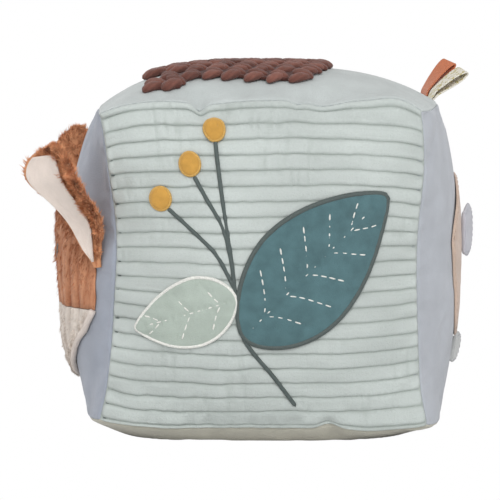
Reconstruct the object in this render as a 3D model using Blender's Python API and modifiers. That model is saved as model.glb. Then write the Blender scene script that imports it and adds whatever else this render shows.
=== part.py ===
"""Soft fabric block for a baby, about 150 mm along its seams.

Six cloth panels are sewn round a filling that holds a rattle capsule. The front panel is corduroy with a
leaf design, the left one carries a plush animal's head with two loose ears, the right one a bloom with
two loose petals, and the top one a knitted patch. Two ribbon loops are sewn into the top right seam.
The front faces -Y, and the origin is the middle of the flat patch that the block rests on.
"""

import math

import bmesh
import bpy
from mathutils import Matrix, Vector

MM = 0.001

# Block: half its width, depth and height at the eight sewn corners.
HALF_X = 72 * MM
HALF_Y = 72 * MM
HALF_Z = 68.5 * MM
# How far the filling pushes each panel out at its middle.
CROWN = {
    "left": 21 * MM,
    "right": 21 * MM,
    "front": 16 * MM,
    "back": 17 * MM,
    "top": 14.5 * MM,
    "bottom": 18 * MM,
}
# How far the upright seams are drawn in at mid height.
SEAM_IN = {"left": 7.5 * MM, "right": 2.5 * MM, "front": 3 * MM, "back": 3 * MM}
# How far the level seams bow out sideways and along the depth, and up or down.
SIDE_OUT = {
    ("left", "bottom"): 9 * MM,
    ("left", "top"): 4.5 * MM,
    ("right", "bottom"): 11 * MM,
    ("right", "top"): 11 * MM,
}
DEPTH_OUT = 3 * MM
SEAM_RISE = {"top": 6 * MM, "bottom": 4.5 * MM}
# How flat the arch of the front and back seams is, and how much lower the side seams arch.
SEAM_RISE_POWER = 6
SIDE_RISE_SHARE = {"top": 0.6, "bottom": 1}
SIDE_OUT_POWER = {"top": 2, "bottom": 4}
# How far the block's own weight flattens the crown that it stands on.
SETTLED = 11.5 * MM
# The upright seams are drawn in more above mid height than below it.
UPPER_DRAW_SHARE = 0.35
# Powers of the swelling: 2 is a parabola, more is a fuller panel with a tighter edge.
SIDE_POWER = 2.2
FRONT_POWER = 2.4
CAP_POWER = 2.8

# Cloth and clearances.
GAP = 0.3 * MM
LAYER_GAP = 0.6 * MM
PANEL_CLOTH = 2.2 * MM
PATCH_CLOTH = 1.6 * MM
WELD = 0.01 * MM
PANEL_CELLS = 12
NORMAL_STEP_SHARE = 0.004

# Corduroy of the front panel.
RIB_PITCH = 6.2 * MM
RIB_RISE = 1.1 * MM
RIB_ROWS = 3
RIB_POWER = 4
RIBS_PER_LINING_ROW = 2

# Leaf design: sizes, and places from the middle of the front panel.
LARGE_LEAF_LENGTH = 86 * MM
LARGE_LEAF_WIDTH = 47 * MM
SMALL_LEAF_LENGTH = 49 * MM
SMALL_LEAF_WIDTH = 28 * MM
BERRY_RADIUS = 4.6 * MM
BERRY_DOME = 0.9 * MM
LARGE_LEAF_BASE_SHARES = (-0.12, -0.4)
LARGE_LEAF_TILT = math.radians(42)
SMALL_LEAF_BASE_SHARES = (-0.17, -0.17)
SMALL_LEAF_TILT = math.radians(196)
BERRY_PLACE_SHARES = ((-0.47, 0.62), (-0.67, 0.42), (-0.3, 0.82))
LEAF_BELLY_SHARE = 0.8
LEAF_TIP_SHARE = 0.05
LEAF_POWER = 0.75

# Plush head on the left panel, measured on the flat panel.
HEAD_WIDTH = 112 * MM
HEAD_HEIGHT = 58 * MM
MUZZLE_HEIGHT = 33 * MM
HEAD_PAD = 4.6 * MM
HEAD_RIM = 1.6 * MM
MUZZLE_SEAM_SHARE = -0.3
HEAD_POWER = 2.6
MUZZLE_POWER = 1.3
PAD_POWER = 3
SEAM_DIP_SHARE = 0.35
TIP_WIDTH_SHARE = 0.04
ROUND_ROW_SHARE = 0.55

# Ears of the head.
EAR_LENGTH = 56 * MM
EAR_WIDTH = 35 * MM
EAR_PLUSH = 2.4 * MM
EAR_LINING = 1.4 * MM
EAR_CUP = math.radians(52)
# How far an ear leans out sideways, and between which shares of its length.
EAR_SWAY = 11 * MM
EAR_SWAY_SHARES = (0.3, 0.8)
EAR_ROOT_SHARE = 0.2
EAR_BROADEST_SHARE = 0.68
EAR_WIDENING_POWER = 2
LINING_WIDTH_SHARE = 0.62
LINING_LENGTH_SHARE = 0.9
# For each ear: place of its root on the left panel, how far the root is tucked in towards the panel,
# how far its lining lies to one side, the way it grows and the way its lining faces.
EARS = {
    "near_ear": {
        "root_shares": (0.86, -0.02),
        "tuck": 0.6 * MM,
        "lining_shift_share": 0.34,
        "grows": Vector((-0.155, -0.06, 0.99)),
        "faces": Vector((-0.55, -0.79, -0.28)),
    },
    "far_ear": {
        "root_shares": (-0.86, 0.05),
        "tuck": 0.1 * MM,
        "lining_shift_share": -0.34,
        "grows": Vector((-0.15, 0.05, 0.99)),
        "faces": Vector((-0.8, 0.54, -0.28)),
    },
}

# Bloom and its two loose petals on the right panel.
BLOOM_RADIUS = 36 * MM
BLOOM_SCALLOPS = 5
BLOOM_SCALLOP_SHARE = 0.06
BLOOM_PLACE_SHARES = (0.0, -0.02)
PETAL_CLOTH = 2 * MM
PETAL_ROOT_SHARE = 0.5
PETAL_BROADEST_SHARE = 0.55
PETALS = {
    "upper_petal": {
        "root_shares": (-0.08, 0.14),
        "length": 26 * MM,
        "width": 27 * MM,
        "lean": math.radians(10),
        "curl_share": 0.1,
    },
    "lower_petal": {
        "root_shares": (-0.06, -0.68),
        "length": 21 * MM,
        "width": 18 * MM,
        "lean": math.radians(11),
        "curl_share": 0.06,
    },
}

# Knitted patch on the top panel.
KNIT_ROW_PITCH = 8.2 * MM
KNIT_ROWS = 9
KNIT_ROW_CELLS = 3
KNIT_CELLS_ALONG = 14
KNIT_YARN = 3 * MM
KNIT_BASE_SHARE = 0.45
KNIT_POWER = 4
KNIT_FRONT_SHARE = -0.88
KNIT_LEFT = 57 * MM
KNIT_RIGHT = 35.5 * MM
KNIT_NOTCH = 19 * MM
KNIT_NOTCH_PLACE_SHARE = 0.3
KNIT_NOTCH_WIDTH_SHARE = 0.13
KNIT_CORNER = 12 * MM
KNIT_CORNER_POWER = 4
# The front row is drawn narrow to the right of its left prong.
KNIT_PRONG_PLACE = -36 * MM
KNIT_PRONG_BLEND = 9 * MM
KNIT_FRONT_NARROW_SHARE = 0.7

# Ribbon loops in the seam between the top and right panels.
RIBBON_WIDTH = 10 * MM
RIBBON_CLOTH = 0.7 * MM
RIBBON_TUCK = 1 * MM
RIBBON_EYE = 2.2 * MM
RIBBONS = {
    "ribbon_loop_plain": {"place_share": 0.62, "length": 25 * MM, "rises": math.radians(50)},
    "ribbon_loop_printed": {"place_share": 0.44, "length": 24 * MM, "rises": math.radians(36)},
}

# Rattle in the middle of the filling.
CAPSULE_RADIUS = 19 * MM
CAPSULE_WALL = 1.6 * MM
CAPSULE_LIP = 2 * MM
CAPSULE_ARC_STEPS = 5
CAPSULE_STEPS = 16
BALL_RADIUS = 6 * MM

# Half the width and height of each flat panel, seen from outside.
PANEL_HALVES = {
    "front": (HALF_X, HALF_Z),
    "back": (HALF_X, HALF_Z),
    "left": (HALF_Y, HALF_Z),
    "right": (HALF_Y, HALF_Z),
    "top": (HALF_X, HALF_Y),
    "bottom": (HALF_X, HALF_Y),
}
CENTRE = Vector((0, 0, HALF_Z + CROWN["bottom"] + SEAM_RISE["bottom"] - SETTLED))
# For each panel: its outward direction, and its right and up as seen from outside.
PANEL_AXES = {
    "front": (Vector((0, -1, 0)), Vector((1, 0, 0)), Vector((0, 0, 1))),
    "back": (Vector((0, 1, 0)), Vector((-1, 0, 0)), Vector((0, 0, 1))),
    "left": (Vector((-1, 0, 0)), Vector((0, -1, 0)), Vector((0, 0, 1))),
    "right": (Vector((1, 0, 0)), Vector((0, 1, 0)), Vector((0, 0, 1))),
    "top": (Vector((0, 0, 1)), Vector((1, 0, 0)), Vector((0, 1, 0))),
    "bottom": (Vector((0, 0, -1)), Vector((1, 0, 0)), Vector((0, -1, 0))),
}

# Colours as they are seen, red, green and blue from 0 to 255.
COLOURS = {
    "front_panel": (193, 200, 192),
    "back_panel": (178, 187, 190),
    "left_panel": (167, 170, 180),
    "right_panel": (177, 182, 187),
    "top_panel": (189, 200, 203),
    "bottom_panel": (176, 173, 158),
    "large_leaf_patch": (78, 108, 113),
    "small_leaf_patch": (166, 176, 167),
    "berry_patch": (193, 149, 76),
    "head_pad": (166, 119, 87),
    "muzzle_pad": (206, 195, 189),
    "ear_back": (157, 112, 82),
    "ear_lining": (214, 201, 197),
    "bloom_patch": (188, 168, 154),
    "upper_petal": (200, 199, 206),
    "lower_petal": (186, 188, 186),
    "knit_patch": (108, 74, 65),
    "ribbon_loop_plain": (190, 108, 74),
    "ribbon_loop_printed": (214, 203, 178),
    "filling": (238, 238, 234),
    "rattle": (226, 230, 232),
    "rattle_ball": (150, 152, 156),
}
CLOTH_ROUGHNESS = 0.9
PLASTIC_ROUGHNESS = 0.35
SMOOTH_ANGLE = math.radians(40)


def hump(place, power=2.0):
    """One in the middle of a panel, and nothing at its seams."""
    return 1 - abs(place) ** power


def block_point(a, b, c):
    """Outer surface of the stuffed block, for a point on the surface of the cube from -1 to 1."""
    side = "left" if a < 0 else "right"
    face = "front" if b < 0 else "back"
    cap = "bottom" if c < 0 else "top"
    half_x = HALF_X - SEAM_IN[side] * hump(c) * (1 + UPPER_DRAW_SHARE * c) * b * b
    half_x += SIDE_OUT[side, cap] * hump(b, SIDE_OUT_POWER[cap]) * c * c
    half_x += CROWN[side] * hump(b, SIDE_POWER) * hump(c, SIDE_POWER)
    half_y = HALF_Y - SEAM_IN[face] * hump(c) * a * a
    half_y += DEPTH_OUT * hump(a) * c * c
    half_y += CROWN[face] * hump(a, FRONT_POWER) * hump(c, FRONT_POWER)
    side_rise = SIDE_RISE_SHARE[cap] * hump(b) * a * a
    half_z = HALF_Z + SEAM_RISE[cap] * (hump(a, SEAM_RISE_POWER) * b * b + side_rise)
    half_z += (CROWN[cap] + SEAM_RISE[cap]) * hump(a, CAP_POWER) * hump(b, CAP_POWER)
    point = CENTRE + Vector((a * half_x, b * half_y, c * half_z))
    point.z = max(point.z, 0)
    return point


def inward(point, depth):
    """The point moved towards the middle of the block, by depth at the panels."""
    away = point - CENTRE
    return CENTRE + Vector(
        (away.x * (1 - depth / HALF_X), away.y * (1 - depth / HALF_Y), away.z * (1 - depth / HALF_Z))
    )


def panel_point(panel, right, up):
    """Point of a panel, for shares from -1 to 1 to its right and up."""
    out_axis, right_axis, up_axis = PANEL_AXES[panel]
    return block_point(*(out_axis + right * right_axis + up * up_axis))


def panel_frame(panel, right, up):
    """Point of a panel with its right, up and outward directions there."""
    step = NORMAL_STEP_SHARE
    across = panel_point(panel, right + step, up) - panel_point(panel, right - step, up)
    rise = panel_point(panel, right, up + step) - panel_point(panel, right, up - step)
    outward = across.cross(rise).normalized()
    return panel_point(panel, right, up), outward.cross(rise).normalized() * -1, rise.normalized(), outward


def material(name, colour, roughness, metallic=0.0):
    """Principled material for one object."""
    finish = bpy.data.materials.new(name + "_finish")
    finish.use_nodes = True
    shader = finish.node_tree.nodes["Principled BSDF"]
    linear = [(channel / 255) ** 2.2 for channel in colour]
    shader.inputs["Base Color"].default_value = (*linear, 1)
    shader.inputs["Roughness"].default_value = roughness
    shader.inputs["Metallic"].default_value = metallic
    return finish


def add_object(name, mesh, colour, pivot=None, roughness=CLOTH_ROUGHNESS):
    """Object of the part, with its origin at the pivot."""
    pivot = pivot or Vector((0, 0, 0))
    mesh.transform(Matrix.Translation(-pivot))
    mesh.shade_smooth()
    mesh.set_sharp_from_angle(angle=SMOOTH_ANGLE)
    piece = bpy.data.objects.new(name, mesh)
    piece.location = pivot
    piece.data.materials.append(material(name, COLOURS[colour], roughness))
    PARTS.objects.link(piece)
    return piece


def thin_rows(shape, upper_verts, rows, keep_every):
    """Joins rows of the lower sheet's cells, keeping each keep_every-th line between them."""

    def spare(edge):
        first, second = edge.verts
        if upper_verts.issuperset(edge.verts) or abs(first.co.y - second.co.y) > NORMAL_STEP_SHARE:
            return False
        return round((first.co.y + 1) / 2 * rows) % keep_every != 0

    bmesh.ops.dissolve_edges(shape, edges=[edge for edge in shape.edges if spare(edge)], use_verts=True)


def split_cells(faces, nearer):
    """Splits four-sided cells along the diagonal that lies nearer to the block's middle, or the other one."""
    for face in faces:
        if len(face.verts) != 4:
            continue
        corners = face.verts[:]
        first_length = ((corners[0].co + corners[2].co) / 2 - CENTRE).length
        second_length = ((corners[1].co + corners[3].co) / 2 - CENTRE).length
        start = 0 if (first_length < second_length) == nearer else 1
        bmesh.utils.face_split(face, corners[start], corners[start + 2])


def cloth(name, cells, lower, upper, colour, pivot=None, keep_every=1):
    """Closed piece of cloth between two sheets, each a function of the same grid from -1 to 1.

    The lower sheet's cells are split along the diagonals that bulge and the upper one's along those that
    don't, which keeps the piece clear of what swells under it and of what lies over it.
    """
    shape = bmesh.new()
    bmesh.ops.create_grid(shape, x_segments=cells[0], y_segments=cells[1], size=1)
    doubled = bmesh.ops.extrude_face_region(shape, geom=shape.faces[:], use_keep_orig=True)
    upper_verts = {item for item in doubled["geom"] if isinstance(item, bmesh.types.BMVert)}
    if keep_every > 1:
        thin_rows(shape, upper_verts, cells[1], keep_every)
    for vert in shape.verts:
        sheet = upper if vert in upper_verts else lower
        vert.co = sheet(vert.co.x, vert.co.y)
    under = [face for face in shape.faces if upper_verts.isdisjoint(face.verts)]
    over = [face for face in shape.faces if upper_verts.issuperset(face.verts)]
    split_cells(under, False)
    split_cells(over, True)
    bmesh.ops.remove_doubles(shape, verts=shape.verts, dist=WELD)
    bmesh.ops.recalc_face_normals(shape, faces=shape.faces)
    mesh = bpy.data.meshes.new(name)
    shape.to_mesh(mesh)
    shape.free()
    return add_object(name, mesh, colour, pivot)


def make_panel(panel):
    """One sewn panel, a constant cloth whose edges stop just short of the seams."""
    edge_right = 1 - GAP / PANEL_HALVES[panel][0]
    edge_up = 1 - GAP / PANEL_HALVES[panel][1]

    def outer(right, up):
        return panel_point(panel, right * edge_right, up * edge_up)

    def inner(right, up):
        return inward(outer(right, up), PANEL_CLOTH)

    cloth(panel + "_panel", (PANEL_CELLS, PANEL_CELLS), inner, outer, panel + "_panel")


def make_front_panel():
    """Corduroy panel with its ribs running level from seam to seam."""
    ribs = round(2 * HALF_Z / RIB_PITCH)
    edge_right = 1 - GAP / HALF_X
    edge_up = 1 - GAP / HALF_Z

    def outer(right, up):
        across_rib = ((up + 1) / 2 * ribs) % 1
        if min(across_rib, 1 - across_rib) < 1 / (RIB_ROWS * 2):
            across_rib = 0
        rise = RIB_RISE * (1 - abs(2 * across_rib - 1) ** RIB_POWER)
        point, _, _, outward = panel_frame("front", right * edge_right, up * edge_up)
        return point + outward * rise

    def inner(right, up):
        return inward(panel_point("front", right * edge_right, up * edge_up), PANEL_CLOTH)

    cells = (PANEL_CELLS, ribs * RIB_ROWS)
    cloth("front_panel", cells, inner, outer, "front_panel", keep_every=RIBS_PER_LINING_ROW * RIB_ROWS)


def laid(name, panel, cells, outline, seat, thickness, colour):
    """Piece that lies on a panel: outline gives its place on the flat panel, thickness its height."""
    half_right, half_up = PANEL_HALVES[panel]

    def lifted(u, v, lift):
        right, up = outline(u, v)
        point, _, _, outward = panel_frame(panel, right / half_right, up / half_up)
        return point + outward * lift

    def lower(u, v):
        return lifted(u, v, seat)

    def upper(u, v):
        return lifted(u, v, seat + thickness(u, v))

    return cloth(name, cells, lower, upper, colour)


def disc_place(u, v):
    """The square from -1 to 1 drawn onto a disc of radius 1."""
    return u * math.sqrt(1 - v * v / 2), v * math.sqrt(1 - u * u / 2)


def leaf_outline(length, width, base, tilt):
    """Leaf from its base to its tip, u along it and v across it."""

    def outline(u, v):
        along = (1 - math.cos(math.pi / 2 * (u + 1))) / 2
        girth = max(math.sin(math.pi * along**LEAF_BELLY_SHARE), 0) ** LEAF_POWER
        across = v * width / 2 * max(girth, LEAF_TIP_SHARE)
        reach = along * length
        right = base[0] + reach * math.cos(tilt) - across * math.sin(tilt)
        up = base[1] + reach * math.sin(tilt) + across * math.cos(tilt)
        return right, up

    return outline


def make_leaf_design():
    """Two velour leaves and three berries sewn on top of the ribs."""
    seat = RIB_RISE + GAP
    leaves = (
        ("large_leaf_patch", LARGE_LEAF_LENGTH, LARGE_LEAF_WIDTH, LARGE_LEAF_BASE_SHARES, LARGE_LEAF_TILT),
        ("small_leaf_patch", SMALL_LEAF_LENGTH, SMALL_LEAF_WIDTH, SMALL_LEAF_BASE_SHARES, SMALL_LEAF_TILT),
    )
    for name, length, width, shares, tilt in leaves:
        base = (shares[0] * HALF_X, shares[1] * HALF_Z)
        outline = leaf_outline(length, width, base, tilt)
        laid(name, "front", (14, 6), outline, seat, lambda u, v: PATCH_CLOTH, name)

    def dome(u, v):
        x, y = disc_place(u, v)
        return PATCH_CLOTH + BERRY_DOME * (1 - x * x - y * y)

    for number, (right_share, up_share) in enumerate(BERRY_PLACE_SHARES, 1):

        def berry_outline(u, v, right_share=right_share, up_share=up_share):
            x, y = disc_place(u, v)
            return right_share * HALF_X + BERRY_RADIUS * x, up_share * HALF_Z + BERRY_RADIUS * y

        laid(f"berry_patch_{number}", "front", (4, 4), berry_outline, seat, dome, "berry_patch")


def rounded_end(row, power):
    """Reach and width of a piece that ends round, as shares, for rows from 0 at its seam to 1 at its end."""
    turn = row * math.pi / 2
    return math.sin(turn) ** (2 / power), max(math.cos(turn), 0) ** (2 / power)


def pad_height(across, reach):
    """Thickness of the stuffed head: full in the middle, thin at its rim, with a dip along the seam."""
    side = max(1 - abs(across) ** PAD_POWER, 0) ** 0.5
    end = max(1 - reach**PAD_POWER, 0) ** 0.5
    dip = 1 - SEAM_DIP_SHARE * (1 - min(reach / SEAM_DIP_SHARE, 1))
    return HEAD_RIM + (HEAD_PAD - HEAD_RIM) * side * end * dip


def make_head():
    """Plush head: a brown upper pad and a pale muzzle that narrows to the chin."""
    seam_up = MUZZLE_SEAM_SHARE * HALF_Z
    pads = (
        ("head_pad", 1, HEAD_HEIGHT, HEAD_POWER, (12, 9)),
        ("muzzle_pad", -1, MUZZLE_HEIGHT, MUZZLE_POWER, (12, 7)),
    )
    for name, side, height, power, cells in pads:

        def outline(u, v, side=side, height=height, power=power):
            reach, width = rounded_end((v + 1) / 2, power)
            half = HEAD_WIDTH / 2 * max(width, TIP_WIDTH_SHARE)
            return side * u * half, seam_up + side * (GAP / 2 + reach * height)

        def thickness(u, v, power=power):
            return pad_height(u, rounded_end((v + 1) / 2, power)[0])

        laid(name, "left", cells, outline, GAP, thickness, name)


def petal_row(row, root_share, broadest_share, power=1):
    """Reach and width, as shares, of a piece that widens from its root and ends round, for rows 0 to 1."""
    if row < ROUND_ROW_SHARE:
        rise = row / ROUND_ROW_SHARE
        return broadest_share * rise, root_share + (1 - root_share) * math.sin(math.pi / 2 * rise) ** power
    turn = (row - ROUND_ROW_SHARE) / (1 - ROUND_ROW_SHARE) * math.pi / 2
    return broadest_share + (1 - broadest_share) * math.sin(turn), max(math.cos(turn), TIP_WIDTH_SHARE)


def ear_frame(ear):
    """Pivot of an ear on the left panel, with its growing, facing and width directions."""
    grows = ear["grows"].normalized()
    width = ear["faces"].cross(grows).normalized()
    faces = grows.cross(width)
    point, _, _, outward = panel_frame("left", *ear["root_shares"])
    root_half = EAR_WIDTH / 2 * EAR_ROOT_SHARE * math.sin(EAR_CUP) / EAR_CUP
    lift = GAP + EAR_PLUSH * abs(faces.dot(outward)) + root_half * abs(width.dot(outward))
    return point + outward * (lift - ear["tuck"]), grows, faces, width


def make_ear(name, ear):
    """Loose ear: plush back and pale lining, cupped across and leaning outwards along its length."""
    pivot, grows, faces, width = ear_frame(ear)
    away = Vector((-1, 0, 0))
    sway_start, sway_end = EAR_SWAY_SHARES

    def lifted(row, across, lift):
        along, girth = petal_row(row, EAR_ROOT_SHARE, EAR_BROADEST_SHARE, EAR_WIDENING_POWER)
        turn = across * EAR_CUP
        leaning = min(max((along - sway_start) / (sway_end - sway_start), 0), 1)
        sway = EAR_SWAY * leaning * leaning * (3 - 2 * leaning)
        sway_slope = EAR_SWAY * 6 * leaning * (1 - leaning) / (sway_end - sway_start)
        middle = pivot + EAR_LENGTH * along * grows + sway * away
        radius = EAR_WIDTH / 2 * girth / EAR_CUP
        point = middle + radius * (math.sin(turn) * width + (1 - math.cos(turn)) * faces)
        lengthways = EAR_LENGTH * grows + sway_slope * away
        crossways = math.cos(turn) * width + math.sin(turn) * faces
        return point + lengthways.cross(crossways).normalized() * lift

    def layer(low, high, width_share, length_share, shift_share):
        def sheet(lift):
            def place(u, v):
                row = (1 - length_share) / 2 + (u + 1) / 2 * length_share
                return lifted(row, v * width_share + shift_share, lift)

            return place

        return sheet(low), sheet(high)

    back = layer(-EAR_PLUSH, 0, 1, 1, 0)
    lining_lifts = (LAYER_GAP, LAYER_GAP + EAR_LINING)
    lining = layer(*lining_lifts, LINING_WIDTH_SHARE, LINING_LENGTH_SHARE, ear["lining_shift_share"])
    cloth(name + "_back", (12, 6), *back, "ear_back", pivot)
    cloth(name + "_lining", (12, 6), *lining, "ear_lining", pivot)


def make_bloom():
    """Round patch on the right panel, under the upper petal."""

    def outline(u, v):
        x, y = disc_place(u, v)
        scallop = 1 + BLOOM_SCALLOP_SHARE * (x * x + y * y) * math.cos(BLOOM_SCALLOPS * math.atan2(x, y))
        right = BLOOM_PLACE_SHARES[0] * HALF_Y + BLOOM_RADIUS * x * scallop
        return right, BLOOM_PLACE_SHARES[1] * HALF_Z + BLOOM_RADIUS * y * scallop

    laid("bloom_patch", "right", (10, 10), outline, GAP, lambda u, v: PATCH_CLOTH, "bloom_patch")


def petal_frame(petal, seat):
    """Pivot of a petal on the right panel, with the panel's right, up and outward directions there."""
    point, right, up, outward = panel_frame("right", *petal["root_shares"])
    return point + outward * (seat + GAP + PETAL_CLOTH / 2), right, up, outward


def make_petal(name, petal, seat):
    """Loose petal, sewn down along its root and lifting off the panel towards its rounded end."""
    pivot, right, up, outward = petal_frame(petal, seat)
    grows = right * math.cos(petal["lean"]) + outward * math.sin(petal["lean"])
    faces = grows.cross(up).normalized()

    def place(u, v, lift):
        along, girth = petal_row((u + 1) / 2, PETAL_ROOT_SHARE, PETAL_BROADEST_SHARE)
        curl = petal["curl_share"] * along * along
        middle = pivot + petal["length"] * (along * grows + curl * faces)
        return middle + up * (v * petal["width"] / 2 * girth) + faces * lift

    def lower(u, v):
        return place(u, v, -PETAL_CLOTH / 2)

    def upper(u, v):
        return place(u, v, PETAL_CLOTH / 2)

    cloth(name, (10, 6), lower, upper, name, pivot)


def make_knit_patch():
    """Thick knitted patch with one ridge for each row of stitches and a forked left end."""
    front = KNIT_FRONT_SHARE * HALF_Y
    depth = KNIT_ROWS * KNIT_ROW_PITCH

    def outline(u, v):
        back_share = (v + 1) / 2
        corner = KNIT_CORNER * abs(v) ** KNIT_CORNER_POWER
        left_corner = KNIT_CORNER * max(v, 0) ** KNIT_CORNER_POWER
        notch = KNIT_NOTCH * math.exp(-(((back_share - KNIT_NOTCH_PLACE_SHARE) / KNIT_NOTCH_WIDTH_SHARE) ** 2))
        left = -KNIT_LEFT + left_corner + notch
        right = KNIT_RIGHT - corner
        place = left + (u + 1) / 2 * (right - left)
        narrow = min(max((place - KNIT_PRONG_PLACE) / KNIT_PRONG_BLEND, 0), 1) * KNIT_FRONT_NARROW_SHARE
        in_front_row = min(back_share * KNIT_ROWS, 1)
        return place, front + back_share * depth + KNIT_ROW_PITCH * narrow * (1 - in_front_row)

    def ridge(u, v):
        across_row = ((v + 1) / 2 * KNIT_ROWS) % 1
        if min(across_row, 1 - across_row) < 1 / (KNIT_ROW_CELLS * 2):
            across_row = 0
        height = 1 - abs(2 * across_row - 1) ** KNIT_POWER
        return KNIT_YARN * (KNIT_BASE_SHARE + (1 - KNIT_BASE_SHARE) * height)

    cells = (KNIT_CELLS_ALONG, KNIT_ROWS * KNIT_ROW_CELLS)
    laid("knit_patch", "top", cells, outline, GAP, ridge, "knit_patch")


def ribbon_frame(ribbon):
    """Pivot of a ribbon loop outside its seam, with its growing direction and the seam's."""
    place = ribbon["place_share"]
    step = NORMAL_STEP_SHARE
    along_seam = (block_point(1, place + step, 1) - block_point(1, place - step, 1)).normalized()
    corner_out = Vector((1, 0, 1)).normalized()
    grows = Vector((math.cos(ribbon["rises"]), 0, math.sin(ribbon["rises"])))
    grows = (grows - along_seam * grows.dot(along_seam)).normalized()
    return block_point(1, place, 1) + corner_out * (RIBBON_TUCK + GAP), grows, along_seam


def make_ribbon(name, ribbon):
    """Folded ribbon: two legs, tucked back past their hinge line to the seam, and a rounded eye at the fold."""
    pivot, grows, along_seam = ribbon_frame(ribbon)
    sideways = grows.cross(along_seam).normalized()
    leg = (RIBBON_CLOTH + GAP) / 2

    def surface(u, v):
        turn = math.pi * u
        reach = (ribbon["length"] + RIBBON_TUCK) * (1 + math.cos(turn)) / 2 - RIBBON_TUCK
        spread = leg * math.sin(turn / 2) + RIBBON_EYE * math.sin(turn) * math.cos(turn / 2) ** 2
        return pivot + grows * reach + sideways * spread + along_seam * (v * RIBBON_WIDTH / 2)

    def lifted(u, v, lift):
        step = NORMAL_STEP_SHARE
        inside = min(max(u, step - 1), 1 - step)
        lengthways = surface(inside + step, v) - surface(inside - step, v)
        return surface(u, v) + lengthways.cross(along_seam).normalized() * lift

    def lower(u, v):
        return lifted(u, v, -RIBBON_CLOTH / 2)

    def upper(u, v):
        return lifted(u, v, RIBBON_CLOTH / 2)

    cloth(name, (24, 2), lower, upper, name, pivot)


def arc(radius, start, end, steps):
    """Points of an arc about the capsule's middle, angles measured up from the level."""
    turns = [start + (end - start) * step / steps for step in range(steps + 1)]
    return [(radius * math.cos(turn), radius * math.sin(turn)) for turn in turns]


def turned(name, profile, colour=None, top_first=True):
    """Profile of (radius, height) points turned about the capsule's upright axis."""
    shape = bmesh.new()
    points = profile if top_first else profile[::-1]
    verts = [shape.verts.new((max(radius, 0), 0, height)) for radius, height in points]
    for first, second in zip(verts, verts[1:]):
        shape.edges.new((first, second))
    mesh = bpy.data.meshes.new(name)
    shape.to_mesh(mesh)
    shape.free()
    piece = bpy.data.objects.new(name, mesh)
    piece.location = CENTRE
    screw = piece.modifiers.new("turn", "SCREW")
    screw.steps = CAPSULE_STEPS
    screw.render_steps = CAPSULE_STEPS
    screw.use_merge_vertices = True
    screw.merge_threshold = WELD
    if colour:
        piece.data.materials.append(material(name, COLOURS[colour], PLASTIC_ROUGHNESS))
        PARTS.objects.link(piece)
    else:
        piece.hide_render = True
        piece.display_type = "WIRE"
        CUTTERS.objects.link(piece)
    return piece


def make_rattle():
    """Capsule of two snapped halves, the lower one with a lip inside the upper, and one loose ball."""
    outer = CAPSULE_RADIUS
    inner = CAPSULE_RADIUS - CAPSULE_WALL
    lip_outer = CAPSULE_RADIUS - CAPSULE_WALL / 2 - GAP / 2
    split = GAP / 2
    quarter = math.pi / 2
    steps = CAPSULE_ARC_STEPS
    outer_low = arc(outer, math.asin(-split / outer), -quarter, steps)
    inner_low = arc(inner, -quarter, 0, steps)
    lower = [(lip_outer, CAPSULE_LIP), (lip_outer, -split)] + outer_low + inner_low
    lower.append((inner, CAPSULE_LIP))
    lower.append(lower[0])
    turned("rattle_shell_lower", lower, "rattle")
    recess = lip_outer + GAP
    seat = CAPSULE_LIP + GAP
    outer_high = arc(outer, quarter, math.asin(split / outer), steps)
    inner_high = arc(inner, math.asin(seat / inner), quarter, steps)
    upper = outer_high + [(recess, split), (recess, seat)] + inner_high
    turned("rattle_shell_upper", upper, "rattle")

    ball_place = CENTRE - Vector((0, 0, inner - BALL_RADIUS - GAP))
    shape = bmesh.new()
    bmesh.ops.create_uvsphere(shape, u_segments=CAPSULE_STEPS, v_segments=CAPSULE_STEPS // 2, radius=BALL_RADIUS)
    shape.transform(Matrix.Translation(ball_place))
    mesh = bpy.data.meshes.new("rattle_ball")
    shape.to_mesh(mesh)
    shape.free()
    add_object("rattle_ball", mesh, "rattle_ball", ball_place, PLASTIC_ROUGHNESS)


def make_filling(name, side, pocket):
    """Half of the fibre filling, side 1 above and -1 below, hollowed for the capsule."""
    shape = bmesh.new()
    bmesh.ops.create_cube(shape, size=2)
    bmesh.ops.subdivide_edges(shape, edges=shape.edges[:], cuts=PANEL_CELLS - 1, use_grid_fill=True)
    for vert in shape.verts:
        vert.co = inward(block_point(*vert.co), PANEL_CLOTH + GAP)
    split_cells(shape.faces[:], True)
    bmesh.ops.bisect_plane(
        shape,
        geom=shape.verts[:] + shape.edges[:] + shape.faces[:],
        plane_co=CENTRE + Vector((0, 0, side * GAP / 2)),
        plane_no=(0, 0, -side),
        clear_outer=True,
    )
    bmesh.ops.holes_fill(shape, edges=[edge for edge in shape.edges if edge.is_boundary], sides=0)
    bmesh.ops.recalc_face_normals(shape, faces=shape.faces)
    mesh = bpy.data.meshes.new(name)
    shape.to_mesh(mesh)
    shape.free()
    piece = add_object(name, mesh, "filling")
    cut = piece.modifiers.new("pocket", "BOOLEAN")
    cut.operation = "DIFFERENCE"
    cut.solver = "EXACT"
    cut.object = pocket


def main():
    """Builds the whole block."""
    for panel in ("back", "left", "right", "top", "bottom"):
        make_panel(panel)
    make_front_panel()
    make_leaf_design()
    make_head()
    for name, ear in EARS.items():
        make_ear(name, ear)
    make_bloom()
    make_petal("upper_petal", PETALS["upper_petal"], GAP + PATCH_CLOTH)
    make_petal("lower_petal", PETALS["lower_petal"], 0)
    make_knit_patch()
    for name, ribbon in RIBBONS.items():
        make_ribbon(name, ribbon)
    make_rattle()
    pocket = turned("capsule_pocket", arc(CAPSULE_RADIUS + GAP, math.pi / 2, -math.pi / 2, 2 * CAPSULE_ARC_STEPS))
    make_filling("filling_lower_half", -1, pocket)
    make_filling("filling_upper_half", 1, pocket)


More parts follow.
